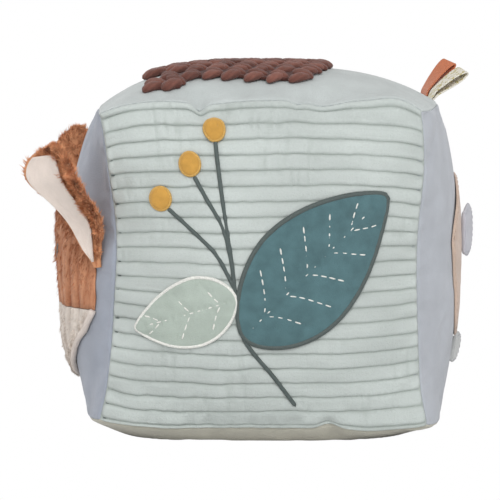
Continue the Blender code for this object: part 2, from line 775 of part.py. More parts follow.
for old in list(bpy.data.objects):
    bpy.data.objects.remove(old, do_unlink=True)
PARTS = bpy.data.collections.new("soft_fabric_block")
CUTTERS = bpy.data.collections.new("cutters")
bpy.context.scene.collection.children.link(PARTS)
bpy.context.scene.collection.children.link(CUTTERS)
main()
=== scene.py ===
"""Looks of the soft fabric block: cloth, pile, stitches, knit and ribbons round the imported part."""

import math

import bpy
import numpy as np
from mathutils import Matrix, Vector


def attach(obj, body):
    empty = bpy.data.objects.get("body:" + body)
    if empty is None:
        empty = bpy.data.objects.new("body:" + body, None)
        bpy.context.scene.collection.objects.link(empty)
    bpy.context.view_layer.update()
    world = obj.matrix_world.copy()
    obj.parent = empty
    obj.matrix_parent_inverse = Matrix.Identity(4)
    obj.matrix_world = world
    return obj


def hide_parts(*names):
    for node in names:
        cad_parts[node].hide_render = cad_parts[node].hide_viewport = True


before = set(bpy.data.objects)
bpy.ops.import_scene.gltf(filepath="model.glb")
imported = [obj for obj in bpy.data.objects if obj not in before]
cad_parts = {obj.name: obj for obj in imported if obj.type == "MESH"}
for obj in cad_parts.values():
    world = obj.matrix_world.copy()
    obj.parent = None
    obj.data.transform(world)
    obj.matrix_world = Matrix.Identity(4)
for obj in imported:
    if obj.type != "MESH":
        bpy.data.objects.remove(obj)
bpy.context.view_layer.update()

MM = 0.001
chance = np.random.default_rng(11)

# Block: the same form as the solids.
HALF_X = 72 * MM
HALF_Y = 72 * MM
HALF_Z = 68.5 * MM
CROWN = {"left": 21, "right": 21, "front": 16, "back": 17, "top": 14.5, "bottom": 18}
SEAM_IN = {"left": 7.5, "right": 2.5, "front": 3, "back": 3}
SIDE_OUT_LEFT_BOTTOM = 9 * MM
SIDE_OUT_LEFT_TOP = 4.5 * MM
SIDE_OUT_RIGHT = 11 * MM
DEPTH_OUT = 3 * MM
SEAM_RISE_TOP = 6 * MM
SEAM_RISE_BOTTOM = 4.5 * MM
SEAM_RISE_POWER = 6
SIDE_RISE_SHARE_TOP = 0.6
SIDE_OUT_POWER_BOTTOM = 4
SETTLED = 11.5 * MM
UPPER_DRAW_SHARE = 0.35
SIDE_POWER = 2.2
FRONT_POWER = 2.4
CAP_POWER = 2.8
CENTRE = np.array((0, 0, HALF_Z + CROWN["bottom"] * MM + SEAM_RISE_BOTTOM - SETTLED))
GAP = 0.3 * MM
PANEL_CLOTH = 2.2 * MM
PATCH_CLOTH = 1.6 * MM

# For each panel: its outward direction, and its right and up as seen from outside.
PANEL_AXES = {
    "front": ((0, -1, 0), (1, 0, 0), (0, 0, 1)),
    "back": ((0, 1, 0), (-1, 0, 0), (0, 0, 1)),
    "left": ((-1, 0, 0), (0, -1, 0), (0, 0, 1)),
    "right": ((1, 0, 0), (0, 1, 0), (0, 0, 1)),
    "top": ((0, 0, 1), (1, 0, 0), (0, 1, 0)),
    "bottom": ((0, 0, -1), (1, 0, 0), (0, -1, 0)),
}
PANEL_AXES = {name: np.array(axes, float) for name, axes in PANEL_AXES.items()}
PANEL_HALVES = {name: np.abs(axes[1:]) @ (HALF_X, HALF_Y, HALF_Z) for name, axes in PANEL_AXES.items()}

# Seams: how wide and deep each panel's edge rolls in, and its small gathers.
ROLL = 2.3 * MM
ROLL_DEPTH = 1.3 * MM
GATHER = 0.85 * MM
GATHER_PITCH = 6.5 * MM
GATHER_REACH = 9 * MM
# Folds rise less than they sink, which leaves room for ears, petals and ribbons to lie down.
FOLD_OUT_SHARE = 0.1

# Small mathematics.
TABLE = chance.random(8192) * 2 - 1
PRIMES = (73856093, 19349663, 83492791)
# Share of a surface over which its slopes are taken.
SLOPE_STEP = 0.004


def unit(vectors):
    return vectors / np.maximum(np.linalg.norm(vectors, axis=-1, keepdims=True), 1e-12)


def soft_step(x, low, high):
    t = np.clip((x - low) / (high - low), 0, 1)
    return t * t * (3 - 2 * t)


def hump(place, power=2.0):
    return 1 - np.abs(place) ** power


def rounded(place, power):
    """1 in the middle, and round down to 0 at -1 and 1."""
    return np.sqrt(np.clip(hump(place, power), 0, 1))


def bell(x, spread, middle=0):
    return np.exp(-(((x - middle) / spread) ** 2))


def level(x, y, z=0):
    """Points of one plane, as places for noise."""
    return np.stack((x, y, 0 * y + z), -1)


def turns(count):
    return np.linspace(0, 2 * math.pi, count, endpoint=False)


def noise(points, size, seed=0):
    """Smooth noise from -1 to 1 at an array of points, with bumps of that size."""
    q = np.asarray(points) / size + seed * 31.7
    cell = np.floor(q).astype(np.int64)
    f = q - cell
    f = f * f * (3 - 2 * f)
    total = 0
    for corner in np.ndindex(2, 2, 2):
        x, y, z = np.moveaxis((cell + corner) * PRIMES, -1, 0)
        share = np.where(corner, f, 1 - f)
        total = total + TABLE[(x ^ y ^ z) & 8191] * share[..., 0] * share[..., 1] * share[..., 2]
    return total


def layered(place, layers):
    """Sum of noises, each with a weight, a share along x, a size in millimetres and a seed."""
    return sum(weight * noise(place * (share, 1, 1), size * MM, seed) for weight, share, size, seed in layers)


# The block's surface.
def block_points(cube):
    """Outer surface of the stuffed block for points on the cube from -1 to 1."""
    a, b, c = cube[..., 0], cube[..., 1], cube[..., 2]
    left, front, low = a < 0, b < 0, c < 0
    seam_in = np.where(left, SEAM_IN["left"], SEAM_IN["right"]) * MM
    side_out = np.where(left, np.where(low, SIDE_OUT_LEFT_BOTTOM, SIDE_OUT_LEFT_TOP), SIDE_OUT_RIGHT)
    crown = np.where(left, CROWN["left"], CROWN["right"]) * MM
    half_x = HALF_X - seam_in * hump(c) * (1 + UPPER_DRAW_SHARE * c) * b * b
    half_x = half_x + side_out * np.where(low, hump(b, SIDE_OUT_POWER_BOTTOM), hump(b)) * c * c
    half_x = half_x + crown * hump(b, SIDE_POWER) * hump(c, SIDE_POWER)
    seam_in = np.where(front, SEAM_IN["front"], SEAM_IN["back"]) * MM
    crown = np.where(front, CROWN["front"], CROWN["back"]) * MM
    half_y = HALF_Y - seam_in * hump(c) * a * a + DEPTH_OUT * hump(a) * c * c
    half_y = half_y + crown * hump(a, FRONT_POWER) * hump(c, FRONT_POWER)
    rise = np.where(low, SEAM_RISE_BOTTOM, SEAM_RISE_TOP)
    side_rise = np.where(low, 1, SIDE_RISE_SHARE_TOP) * hump(b) * a * a
    crown = np.where(low, CROWN["bottom"], CROWN["top"]) * MM + rise
    half_z = HALF_Z + rise * (hump(a, SEAM_RISE_POWER) * b * b + side_rise)
    half_z = half_z + crown * hump(a, CAP_POWER) * hump(b, CAP_POWER)
    return on_floor(CENTRE + np.stack((a * half_x, b * half_y, c * half_z), -1))


def on_floor(points, least=0):
    points[..., 2] = np.maximum(points[..., 2], least)
    return points


# Places where the seams are drawn in a little more: cube place, spread, and how far it is drawn.
TUCKS = (
    ((-0.385, -1, 1), (0.042, 0.1, 0.09), (0, 1.4, -3.3)),
    ((-0.33, -1, 1), (0.17, 0.12, 0.12), (0, 0.3, -1.6)),
    ((0.21, -1, 1), (0.04, 0.1, 0.07), (0, 0.8, -1.2)),
    ((0.37, -1, 1), (0.13, 0.12, 0.1), (0, 0.6, -2.5)),
    ((0.82, -1, 1), (0.14, 0.15, 0.12), (0, 0, 2.6)),
    ((-1, 0.2, 1), (0.12, 0.9, 0.12), (0, 0, -2.2)),
    ((1, -1, 1), (0.07, 0.1, 0.1), (-1.2, 0.4, 0.5)),
    ((0.42, -1, -1), (0.07, 0.1, 0.07), (0, 0.9, 2.2)),
    ((0.7, -1, -1), (0.17, 0.12, 0.1), (0, 0, -1.4)),
    ((-0.1, -1, -1), (0.5, 0.12, 0.1), (0, 0.2, 0.8)),
    ((1, -1, 0.6), (0.3, 0.3, 0.3), (2.4, 0, 0)),
    ((-1, -1, 0.6), (0.3, 0.13, 0.35), (-2.4, 0, 0)),
    ((-1, -1, -0.15), (0.3, 0.13, 0.35), (-1.4, 0, 0)),
    ((1, -0.95, -1), (0.16, 0.3, 0.14), (2.4, 0, -3)),
    ((-1, -0.95, -1), (0.12, 0.3, 0.14), (-1.2, 0, -0.6)),
)
settled_grid = {}


def form(cube):
    """The block's surface with its tucks."""
    points = block_points(cube)
    for place, spread, pull in TUCKS:
        near = np.exp(-(((cube - place) / spread) ** 2).sum(-1))
        points = points + near[..., None] * np.array(pull) * MM
    return points


def bilinear(grid, r, u):
    """Value of a grid of vectors at shares r and u from -1 to 1."""
    rows, columns = grid.shape[:2]
    y = np.clip((u + 1) / 2, 0, 1) * (rows - 1)
    x = np.clip((r + 1) / 2, 0, 1) * (columns - 1)
    i = np.minimum(y.astype(int), rows - 2)
    j = np.minimum(x.astype(int), columns - 2)
    fy = (y - i)[..., None]
    fx = (x - j)[..., None]
    upper = grid[i + 1, j] * (1 - fx) + grid[i + 1, j + 1] * fx
    lower = grid[i, j] * (1 - fx) + grid[i, j + 1] * fx
    return lower * (1 - fy) + upper * fy


def panel_points(panel, r, u, plain=False):
    """Points of a panel for shares from -1 to 1 to its right and up, plain ones without tucks and folds."""
    out, right, up = PANEL_AXES[panel]
    r = np.asarray(r, float)[..., None]
    u = np.asarray(u, float)[..., None]
    cube = out + r * right + u * up
    if plain:
        return block_points(cube)
    points = form(cube)
    if panel in settled_grid:
        points = on_floor(points + bilinear(settled_grid[panel], r[..., 0], u[..., 0]))
    return points


def panel_frame(panel, r, u, plain=False):
    """Points of a panel with their right, up and outward directions."""
    r, u = np.broadcast_arrays(np.asarray(r, float), np.asarray(u, float))
    step = SLOPE_STEP
    across = panel_points(panel, r + step, u, plain) - panel_points(panel, r - step, u, plain)
    rise = panel_points(panel, r, u + step, plain) - panel_points(panel, r, u - step, plain)
    outward = unit(np.cross(across, rise))
    return panel_points(panel, r, u, plain), -unit(np.cross(outward, rise)), unit(rise), outward


def on_panel(panel, right, up, lift):
    """Points at a lift over places on the flat panel, with their outward and up directions."""
    half_r, half_u = PANEL_HALVES[panel]
    point, _, rise, outward = panel_frame(panel, np.asarray(right) / half_r, np.asarray(up) / half_u)
    return point + outward * np.asarray(lift)[..., None], outward, rise


def rolled(distance):
    """Share by which a panel's edge rolls in at a distance from its seam."""
    x = np.clip(1 - distance / ROLL, 0, 1)
    return 1 - np.sqrt(1 - x * x)


def sewn(panel, r, u, lift):
    """Points of a panel lifted off its surface, with its edges rolled into the seams."""
    point, _, _, outward = panel_frame(panel, r, u)
    half_r, half_u = PANEL_HALVES[panel]
    by_side = rolled((1 - np.abs(r)) * half_r)
    by_end = rolled((1 - np.abs(u)) * half_u)
    out, right, up = PANEL_AXES[panel]
    draw = np.maximum(by_side, by_end)[..., None] * out
    draw = draw + (by_side * np.sign(r))[..., None] * right + (by_end * np.sign(u))[..., None] * up
    return on_floor(point + outward * np.asarray(lift)[..., None] - draw * ROLL_DEPTH / math.sqrt(2))


# Materials: one for each look.
LOOKS = {}


def shaded(colour, share):
    """Linear colour from one in 0 to 255, made lighter or darker by a share."""
    values = [channel / 255 for channel in colour]
    values = [value / 12.92 if value <= 0.04045 else ((value + 0.055) / 1.055) ** 2.4 for value in values]
    return (*[min(value * share, 1) for value in values], 1)


class Finish:
    """The nodes of a look's material, made one by one."""

    def __init__(self, look, kind, rough, sheen, sheen_rough, specular):
        LOOKS[look] = bpy.data.materials.new(f"{look}_{kind}")
        LOOKS[look].use_nodes = True
        self.tree = LOOKS[look].node_tree
        self.sockets = self.tree.nodes["Principled BSDF"].inputs
        self.sockets["Roughness"].default_value = rough
        self.sockets["Sheen Weight"].default_value = sheen
        self.sockets["Sheen Roughness"].default_value = sheen_rough
        self.sockets["Specular IOR Level"].default_value = specular
        self.place = self.node("ShaderNodeTexCoord").outputs["Object"]
        self.tone = self.node("ShaderNodeAttribute", attribute_name="tone").outputs["Fac"]

    def node(self, kind, sockets=(), **settings):
        made = self.tree.nodes.new(kind)
        for key, value in settings.items():
            setattr(made, key, value)
        for key, value in dict(sockets).items():
            if isinstance(value, bpy.types.NodeSocket):
                self.tree.links.new(value, made.inputs[key])
            else:
                made.inputs[key].default_value = value
        return made

    def speckle(self, size, stretch=(1, 1, 1), detail=2.0):
        """Noise with bumps of that size in millimetres, longer along the stretched axes."""
        scale = [1 / (size * MM * share) for share in stretch]
        placed = self.node("ShaderNodeMapping", {"Vector": self.place, "Scale": scale})
        sockets = {"Vector": placed.outputs[0], "Scale": 1.0, "Detail": detail, "Roughness": 0.55}
        return self.node("ShaderNodeTexNoise", sockets).outputs["Fac"]

    def ranged(self, value, low=0.3, high=0.7, to_high=1.0):
        return self.node("ShaderNodeMapRange", {0: value, 1: low, 2: high, 3: 0.0, 4: to_high}).outputs[0]

    def mixed(self, share, first, second):
        return self.node("ShaderNodeMix", {0: share, 6: first, 7: second}, data_type="RGBA").outputs[2]

    def tints(self, share, colour, low, high):
        return self.mixed(share, shaded(colour, low), shaded(colour, high))

    def sums(self, *pairs):
        """Sum of values times their weights."""
        total = 0.0
        for value, weight in pairs:
            sockets = {0: value, 1: weight, 2: total}
            total = self.node("ShaderNodeMath", sockets, operation="MULTIPLY_ADD").outputs[0]
        return total

    def wear(self, tint, height, depth):
        """Gives the surface a colour, and a relief of that depth in millimetres."""
        bump = self.node("ShaderNodeBump", {"Height": height, "Distance": depth * MM, "Strength": 0.8})
        self.tree.links.new(tint, self.sockets["Base Color"])
        self.tree.links.new(bump.outputs[0], self.sockets["Normal"])


def velour(
    look, kind, colour, nap, fibre=0.55, spread=0.07, depth=0.22, sheen=0.3, shade_colour=None, stretch=(1, 1, 1)
):
    """Short pile: a soft nap, fine fibres, and, where a shade colour is given, that darker colour where the
    tone is low, as painted shade.
    """
    made = Finish(look, kind, 0.95, sheen, 0.45, 0.15)
    nap_noise = made.ranged(made.speckle(nap, stretch))
    fine = made.ranged(made.speckle(fibre))
    tint = made.tints(nap_noise, colour, 1 - spread, 1 + spread)
    tint = made.mixed(made.ranged(fine, 0, 1, 0.22), tint, shaded(colour, 0.72))
    if shade_colour is not None:
        tint = made.mixed(made.tone, shaded(shade_colour, 1), tint)
    made.wear(tint, made.sums((fine, 0.7), (nap_noise, 0.3)), depth)


def thread(look, colour):
    """Twisted embroidery thread with a slight gloss."""
    made = Finish(look, "twist", 0.55, 0.25, 0.3, 0.4)
    twist = made.ranged(made.speckle(0.35, detail=1.0))
    made.wear(made.tints(twist, colour, 0.72, 1.12), twist, 0.12)


def pile(look, colour, shade_colour):
    """Plush that goes over to its shade colour where the tone is low: painted shade at the roots of its
    strands and in the head's pleats.
    """
    made = Finish(look, "pile", 0.8, 0.12, 0.35, 0.2)
    tint = made.tints(made.ranged(made.speckle(4.5)), colour, 0.86, 1.1)
    made.wear(made.mixed(made.tone, shaded(shade_colour, 1), tint), made.ranged(made.speckle(0.8)), 0.3)


def woven(look, colour, print_colour=None):
    """Woven ribbon: fine ribs across it, and on the printed one small dark dashes."""
    made = Finish(look, "weave", 0.6, 0.2, 0.3, 0.35)
    weave = made.speckle(0.5, (0.8, 3, 0.8), 1.0)
    tint = made.tints(made.ranged(weave, 0.35, 0.65), colour, 0.84, 1.08)
    if print_colour is not None:
        marks = made.ranged(made.speckle(2.2, (1, 0.6, 1), 0.0), 0.55, 0.6)
        tint = made.mixed(marks, tint, shaded(print_colour, 1))
    made.wear(tint, weave, 0.15)


def plastic(look, colour, rough):
    made = Finish(look, "shell", rough, 0.0, 0.3, 0.5)
    made.wear(made.tints(made.ranged(made.speckle(7)), colour, 0.96, 1.03), made.speckle(1.1), 0.03)


# Velours: colour, size of nap and fibre in millimetres, spread of tints, depth, sheen, painted shade colour,
# stretch.
# The corduroy's shade colour is painted shade in its grooves.
velour("corduroy", "pile", (187, 194, 191), 14, 0.7, 0.08, 0.2, 0.3, (154, 162, 157), (3, 1, 1))
velour("back_velour", "pile", (186, 195, 198), 14)
# The left panel is its own lilac grey, made darker to stand in for the shade that the ear and head cast on
# it.
velour("left_velour", "pile", (158, 164, 176), 16)
velour("right_velour", "pile", (177, 181, 188), 16)
velour("top_velour", "pile", (187, 193, 192), 16)
velour("bottom_cloth", "weave", (194, 191, 178), 9)
velour("teal_velour", "pile", (82, 112, 117), 7, 0.5, 0.14, 0.22, 0.45)
velour("sage_velour", "pile", (171, 182, 173), 7, 0.5, 0.06)
velour("mustard_felt", "fibre", (197, 150, 74), 4, 0.5, 0.1)
velour("ear_lining_cloth", "pile", (225, 213, 204), 9, 0.5, 0.05)
velour("peach_velour", "pile", (199, 176, 160), 8)
velour("lilac_velour", "pile", (188, 188, 196), 8)
velour("grey_velour", "pile", (194, 196, 195), 8)
# The knit's shade colour is painted shade under and between its lobes.
velour("brown_knit", "yarn", (134, 89, 78), 3, 0.45, 0.12, 0.3, 0.2, (66, 38, 34))
velour("fibre_filling", "wool", (240, 240, 236), 12, 1.5, 0.03, 0.8)
pile("brown_plush", (214, 156, 120), (146, 84, 54))
pile("ear_plush", (238, 176, 132), (150, 84, 50))
pile("cream_plush", (236, 226, 216), (190, 178, 168))
woven("terracotta_ribbon", (196, 116, 80))
woven("printed_ribbon", (222, 217, 204), (186, 174, 126))
thread("dark_thread", (82, 92, 90))
thread("white_thread", (232, 232, 226))
# Seam thread: grey, so that the stitches sunk in the creases also stand for their painted shade.
thread("seam_thread", (150, 158, 160))
thread("peach_thread", (204, 181, 165))
thread("lilac_thread", (192, 192, 199))
thread("mustard_thread", (206, 163, 86))
plastic("capsule_plastic", (226, 230, 232), 0.3)
plastic("ball_plastic", (150, 152, 156), 0.35)


# Meshes.
def link(name, data):
    made = bpy.data.objects.new(name, data)
    bpy.context.scene.collection.objects.link(made)
    return made


def add_mesh(name, verts, faces):
    """Smooth mesh from points and groups of faces, each group with one number of corners."""
    verts = np.asarray(verts, np.float32).reshape(-1, 3)
    groups = [np.asarray(group, np.int32) for group in faces]
    counts = np.concatenate([np.full(len(group), group.shape[1]) for group in groups])
    mesh = bpy.data.meshes.new(name)
    mesh.vertices.add(len(verts))
    mesh.vertices.foreach_set("co", verts.ravel())
    mesh.loops.add(int(counts.sum()))
    mesh.loops.foreach_set("vertex_index", np.concatenate([group.ravel() for group in groups]))
    mesh.polygons.add(len(counts))
    mesh.polygons.foreach_set("loop_start", np.concatenate(([0], np.cumsum(counts)[:-1])).astype(np.int32))
    mesh.update(calc_edges=True)
    mesh.validate()
    mesh.shade_smooth()
    return link(name, mesh)


def add_piece(name, verts, faces, look, *nodes, body="block", tone=None, slot=None):
    """Piece that rides on a body, wears a look and stands for its nodes. Its slot is not used."""
    piece = add_mesh(name, verts, faces)
    if tone is not None:
        attribute = piece.data.attributes.new("tone", "FLOAT", "POINT")
        attribute.data.foreach_set("value", np.asarray(tone, np.float32).ravel())
    piece.data.materials.append(LOOKS[look])
    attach(piece, body)
    if nodes:
        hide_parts(*nodes)
    return piece


def grid_faces(rows, columns, start=0, flip=False, loop=False):
    """Quads of a grid of points, rows by columns."""
    i = np.arange(rows - 1)[:, None]
    j = np.arange(columns if loop else columns - 1)[None, :]
    k = (j + 1) % columns
    quads = np.stack((i * columns + j, i * columns + k, (i + 1) * columns + k, (i + 1) * columns + j), -1)
    quads = quads.reshape(-1, 4) + start
    return quads[:, ::-1] if flip else quads


def capped_faces(rows, around):
    """Quads and end triangles of a tube of rings, whose two end points come last."""
    j = np.arange(around)
    k = (j + 1) % around
    size = rows * around
    first = np.stack((np.full(around, size), k, j), -1)
    last = np.stack((np.full(around, size + 1), size - around + j, size - around + k), -1)
    return grid_faces(rows, around, loop=True), np.concatenate((first, last))


def repeated(faces, times, size):
    """The faces of one mesh for many like it, each with that number of points."""
    return (faces[None] + (np.arange(times) * size)[:, None, None]).reshape(-1, faces.shape[1])


def add_shell(name, outer, inner, look, *nodes, tone=None, **extra):
    """Closed piece between two grids of points."""
    rows, columns = outer.shape[:2]
    count = rows * columns
    index = np.arange(count).reshape(rows, columns)
    rim = np.concatenate((index[0, :], index[1:, -1], index[-1, -2::-1], index[-2:0:-1, 0]))
    after = np.roll(rim, -1)
    sides = np.stack((rim, rim + count, after + count, after), -1)
    faces = np.concatenate((grid_faces(rows, columns), grid_faces(rows, columns, count, True), sides))
    verts = np.concatenate((outer.reshape(-1, 3), inner.reshape(-1, 3)))
    if tone is not None:
        tone = np.concatenate((tone.ravel(), tone.ravel()))
    return add_piece(name, verts, [faces], look, *nodes, tone=tone, **extra)


def dome_grid(rings, around):
    """Reach from a middle to a rim, and the angle round it."""
    return np.sin(np.linspace(0, math.pi / 2, rings))[:, None], turns(around)[None]


def add_dome(name, panel, right, up, lift, base_lift, look, *nodes, flip=True):
    """Piece on a panel whose rings of points grow from a middle, closed down to the base at its rim."""
    points = on_panel(panel, right, up, lift)[0]
    base = on_panel(panel, right[-1:], up[-1:], base_lift)[0]
    faces = grid_faces(len(right) + 1, right.shape[1], loop=True, flip=flip)
    return add_piece(name, np.concatenate((points, base)), [faces], look, *nodes)


def rings_of(side, out, wide, high, around):
    """Ellipses of points from the directions and half sizes at each place."""
    turn = turns(around)[None, :, None]
    return np.cos(turn) * side[:, None] * wide + np.sin(turn) * out[:, None] * high


def add_tubes(name, runs, look, around=8, **extra):
    """Tubes along paths. Each run is points, outward directions, half width and height at each point."""
    verts, quads, tris, start = [], [], [], 0
    for path, outward, wide, high in runs:
        tangent = unit(np.gradient(path, axis=0))
        side = unit(np.cross(tangent, outward))
        rings = rings_of(side, np.cross(side, tangent), wide[:, None, None], high[:, None, None], around)
        verts += [(path[:, None] + rings).reshape(-1, 3), path[[0, -1]]]
        walls, ends = capped_faces(len(path), around)
        quads.append(walls + start)
        tris.append(ends + start)
        start += len(path) * around + 2
    faces = [np.concatenate(quads), np.concatenate(tris)]
    return add_piece(name, np.concatenate(verts), faces, look, **extra)


# A stitch's rings: how far along it, and how thick.
STITCH_RINGS = ((-0.86, 0.5), (-0.55, 0.9), (0, 1), (0.55, 0.9), (0.86, 0.5))
STITCH_AROUND = 6
# Running stitches: length, gap, half width and half height, in millimetres.
SEAM_STITCH = (2.7, 0.9, 0.34, 0.3)
VEIN_STITCH = (3.1, 0.9, 0.42, 0.36)
BLOOM_STITCH = (2.2, 1.4, 0.28, 0.26)
PETAL_STITCH = (1.8, 1.2, 0.24, 0.14)


def add_stitches(name, starts, ends, outward, wide, high, look, **extra):
    """Short rounded stitches between starts and ends, of a half width and height."""
    along = (ends - starts) / 2
    middle = (ends + starts) / 2
    side = unit(np.cross(along, outward))
    rings = rings_of(side, unit(np.cross(side, along)), wide, high, STITCH_AROUND)
    bodies = [middle[:, None] + along[:, None] * reach + rings * girth for reach, girth in STITCH_RINGS]
    verts = np.concatenate((*bodies, starts[:, None], ends[:, None]), 1)
    faces = capped_faces(len(STITCH_RINGS), STITCH_AROUND)
    faces = [repeated(part, len(starts), verts.shape[1]) for part in faces]
    return add_piece(name, verts, faces, look, **extra)


def add_fur(name, roots, ways, lengths, tone, bend, width, look, **extra):
    """Tapered strands of pile: roots, directions, lengths, shades, and the way that their tips bend."""
    ways = unit(ways)
    spin = unit(chance.normal(size=roots.shape))
    side = unit(np.cross(ways, spin)) * width / 2
    lengths = lengths[:, None]
    middle = roots + ways * lengths * 0.5 + bend * lengths * 0.1
    tip = roots + ways * lengths + bend * lengths * 0.42
    verts = np.stack((roots - side, roots + side, middle - side * 0.8, middle + side * 0.8, tip), 1)
    faces = repeated(np.array(((0, 1, 3), (0, 3, 2), (2, 3, 4))), len(roots), 5)
    # Roots darker than tips: painted shade down among the strands.
    shades = np.stack((tone * 0.55, tone * 0.55, tone * 0.85, tone * 0.85, tone), 1)
    return add_piece(name, verts, [faces], look, tone=shades, **extra)


def lean_of(points, size, seed):
    """Directions in which tufts of pile lean together."""
    return np.stack([noise(points, size, seed + i) for i in range(3)], -1)


# Lines of points.
def reach_along(line):
    return np.concatenate(([0], np.cumsum(np.linalg.norm(np.diff(line, axis=0), axis=1))))


def along_line(line, values, places):
    """Values at distances along a line of points."""
    reach = reach_along(line)
    return np.stack([np.interp(places, reach, column) for column in values.T], -1)


def even_path(line, step):
    """The same line with its points a step apart."""
    length = reach_along(line)[-1]
    return along_line(line, line, np.linspace(0, length, max(int(round(length / step)), 2) + 1))


def smooth_path(points, step):
    """Smooth curve through points, as points a step apart."""
    padded = np.concatenate((2 * points[:1] - points[1:2], points, 2 * points[-1:] - points[-2:-1]))
    t = np.linspace(0, 1, 24, endpoint=False)[:, None]
    runs = []
    for a, b, c, d in zip(padded, padded[1:], padded[2:], padded[3:]):
        bend = 2 * a - 5 * b + 4 * c - d
        turn = 3 * b - a - 3 * c + d
        runs.append(0.5 * (2 * b + (c - a) * t + bend * t**2 + turn * t**3))
    return even_path(np.concatenate((*runs, points[-1:])), step)


def sew(name, lines, kind, look, **extra):
    """Running stitches of one kind along lines of points with outward directions."""
    length, gap, wide, high = np.array(kind) * MM
    parts = []
    for line, outward in lines:
        starts = np.arange(gap / 2, reach_along(line)[-1] - length, length + gap)
        places = ((line, starts), (line, starts + length), (outward, starts + length / 2))
        parts.append([along_line(line, values, place) for values, place in places])
    return add_stitches(name, *[np.concatenate(column) for column in zip(*parts)], wide, high, look, **extra)


# Twisted thread: how far its points lie apart and how long a twist is, in millimetres.
THREAD_STEP = 0.22
THREAD_TWIST = 0.66


def twisted(count):
    return 1 + 0.09 * np.cos(np.arange(count) * THREAD_STEP / THREAD_TWIST * 2 * math.pi)


# Cloth: the covers as one closed skin, held at its seams and underside and pressed out by its filling.
CLOTH_CELLS = 36
CLOTH_FRAMES = 20
CLOTH_PRESSURE = 4
CLOTH_GROWTH = -0.04
CLOTH_STIFFNESS = 0.1
CLOTH_BLUR = 14
FOLD_REACH = 0.3
FOLD_LEAST = 0.3
SEAM_FADE = 0.06
# The top panel lies calm under its knit.
TOP_FOLDS = (0.06, 0.2)
CREASE_OUT = 0.1 * MM
CREASE_IN = 1.2 * MM


def blurred(grid, rounds):
    """A grid of vectors smoothed by rounds of weighted means with its neighbours."""
    for _ in range(rounds):
        for axis in (0, 1):
            grid = np.moveaxis(grid, axis, 0)
            padded = np.concatenate((grid[:1], grid, grid[-1:]))
            grid = np.moveaxis((padded[:-2] + 2 * padded[1:-1] + padded[2:]) / 4, 0, axis)
    return grid


def settle_cloth():
    """Simulates the covers, and keeps the small folds that this gives them."""
    side = CLOTH_CELLS + 1
    r, u = np.meshgrid(np.linspace(-1, 1, side), np.linspace(-1, 1, side))
    r, u = r[..., None], u[..., None]
    cubes = np.stack([out + r * right + u * up for out, right, up in PANEL_AXES.values()])
    steps = np.round(cubes.reshape(-1, 3) * CLOTH_CELLS).astype(int)
    steps, index = np.unique(steps, axis=0, return_inverse=True)
    index = index.reshape(-1)
    start = form(steps / CLOTH_CELLS)
    faces = np.concatenate([index[grid_faces(side, side, panel * side * side)] for panel in range(6)])
    skin = add_mesh("skin", start, [faces])
    held = ((np.abs(steps) == CLOTH_CELLS).sum(1) > 1) | (steps[:, 2] == -CLOTH_CELLS)
    skin.vertex_groups.new(name="held").add(np.flatnonzero(held).tolist(), 1, "REPLACE")
    cloth = skin.modifiers.new("cloth", "CLOTH")
    cloth.settings.vertex_group_mass = "held"
    cloth.settings.use_pressure = True
    cloth.settings.uniform_pressure_force = CLOTH_PRESSURE
    cloth.settings.shrink_min = CLOTH_GROWTH
    cloth.settings.bending_stiffness = CLOTH_STIFFNESS
    cloth.settings.effector_weights.gravity = 0
    cloth.point_cache.frame_start = 1
    cloth.point_cache.frame_end = CLOTH_FRAMES
    for step in range(1, CLOTH_FRAMES + 1):
        bpy.context.scene.frame_set(step)
    settled = np.empty(start.size, np.float32)
    skin.evaluated_get(bpy.context.evaluated_depsgraph_get()).data.vertices.foreach_get("co", settled)
    moved = (settled.reshape(-1, 3) - start)[index].reshape(6, side, side, 3)
    bpy.data.objects.remove(skin)
    bpy.context.scene.frame_set(1)
    from_seam = 1 - np.maximum(np.abs(r), np.abs(u))[..., 0]
    for panel, grid in zip(PANEL_AXES, moved):
        out = PANEL_AXES[panel][0]
        fine = (grid - blurred(grid, CLOTH_BLUR)) @ out
        reach = FOLD_LEAST + (1 - FOLD_LEAST) * np.exp(-from_seam / FOLD_REACH)
        if panel == "top":
            reach = 1 - soft_step(from_seam, *TOP_FOLDS)
        fine = np.clip(fine, -CREASE_IN, CREASE_OUT) * reach * soft_step(from_seam, 0, SEAM_FADE)
        settled_grid[panel] = fine[..., None] * out


settle_cloth()


# Panels.
ROLL_STEPS = (0, 0.04, 0.12, 0.25, 0.42, 0.65, 1, 1.5)
FOLD_DEPTH = 0.9 * MM
FRONT_FOLD_DEPTH = 0.5 * MM
BOTTOM_FOLD_DEPTH = 0.3 * MM


def edge_shares(count, half):
    """Shares from -1 to 1, closer together where a panel rolls into its seams."""
    close = 1 - np.array(ROLL_STEPS) * ROLL / half
    middle = np.linspace(-1, 1, count)
    middle = middle[np.abs(middle) < close[-1] - 1 / count]
    return np.concatenate((-close, middle, close[::-1]))


def folds(panel, r, u, seed, depth):
    """Small folds that run out of a panel's seams, and broad, shallow ones all over it."""
    half_r, half_u = PANEL_HALVES[panel]
    x, y = r * half_r, u * half_u
    small = 0
    for distance, along, side in (((1 - np.abs(r)) * half_r, y, r), ((1 - np.abs(u)) * half_u, x, u)):
        fade = np.exp(-distance / GATHER_REACH) * soft_step(distance, 0, 1.5 * MM)
        place = level(along, distance * 0.22, np.sign(side) * 40 * MM)
        gather = noise(place, GATHER_PITCH, seed) + 0.5 * noise(place, GATHER_PITCH * 0.45, seed + 3)
        small = small + fade * gather
    return GATHER * small, depth * layered(level(x, y), ((1, 1, 34, seed), (0.45, 1, 15, seed + 5)))


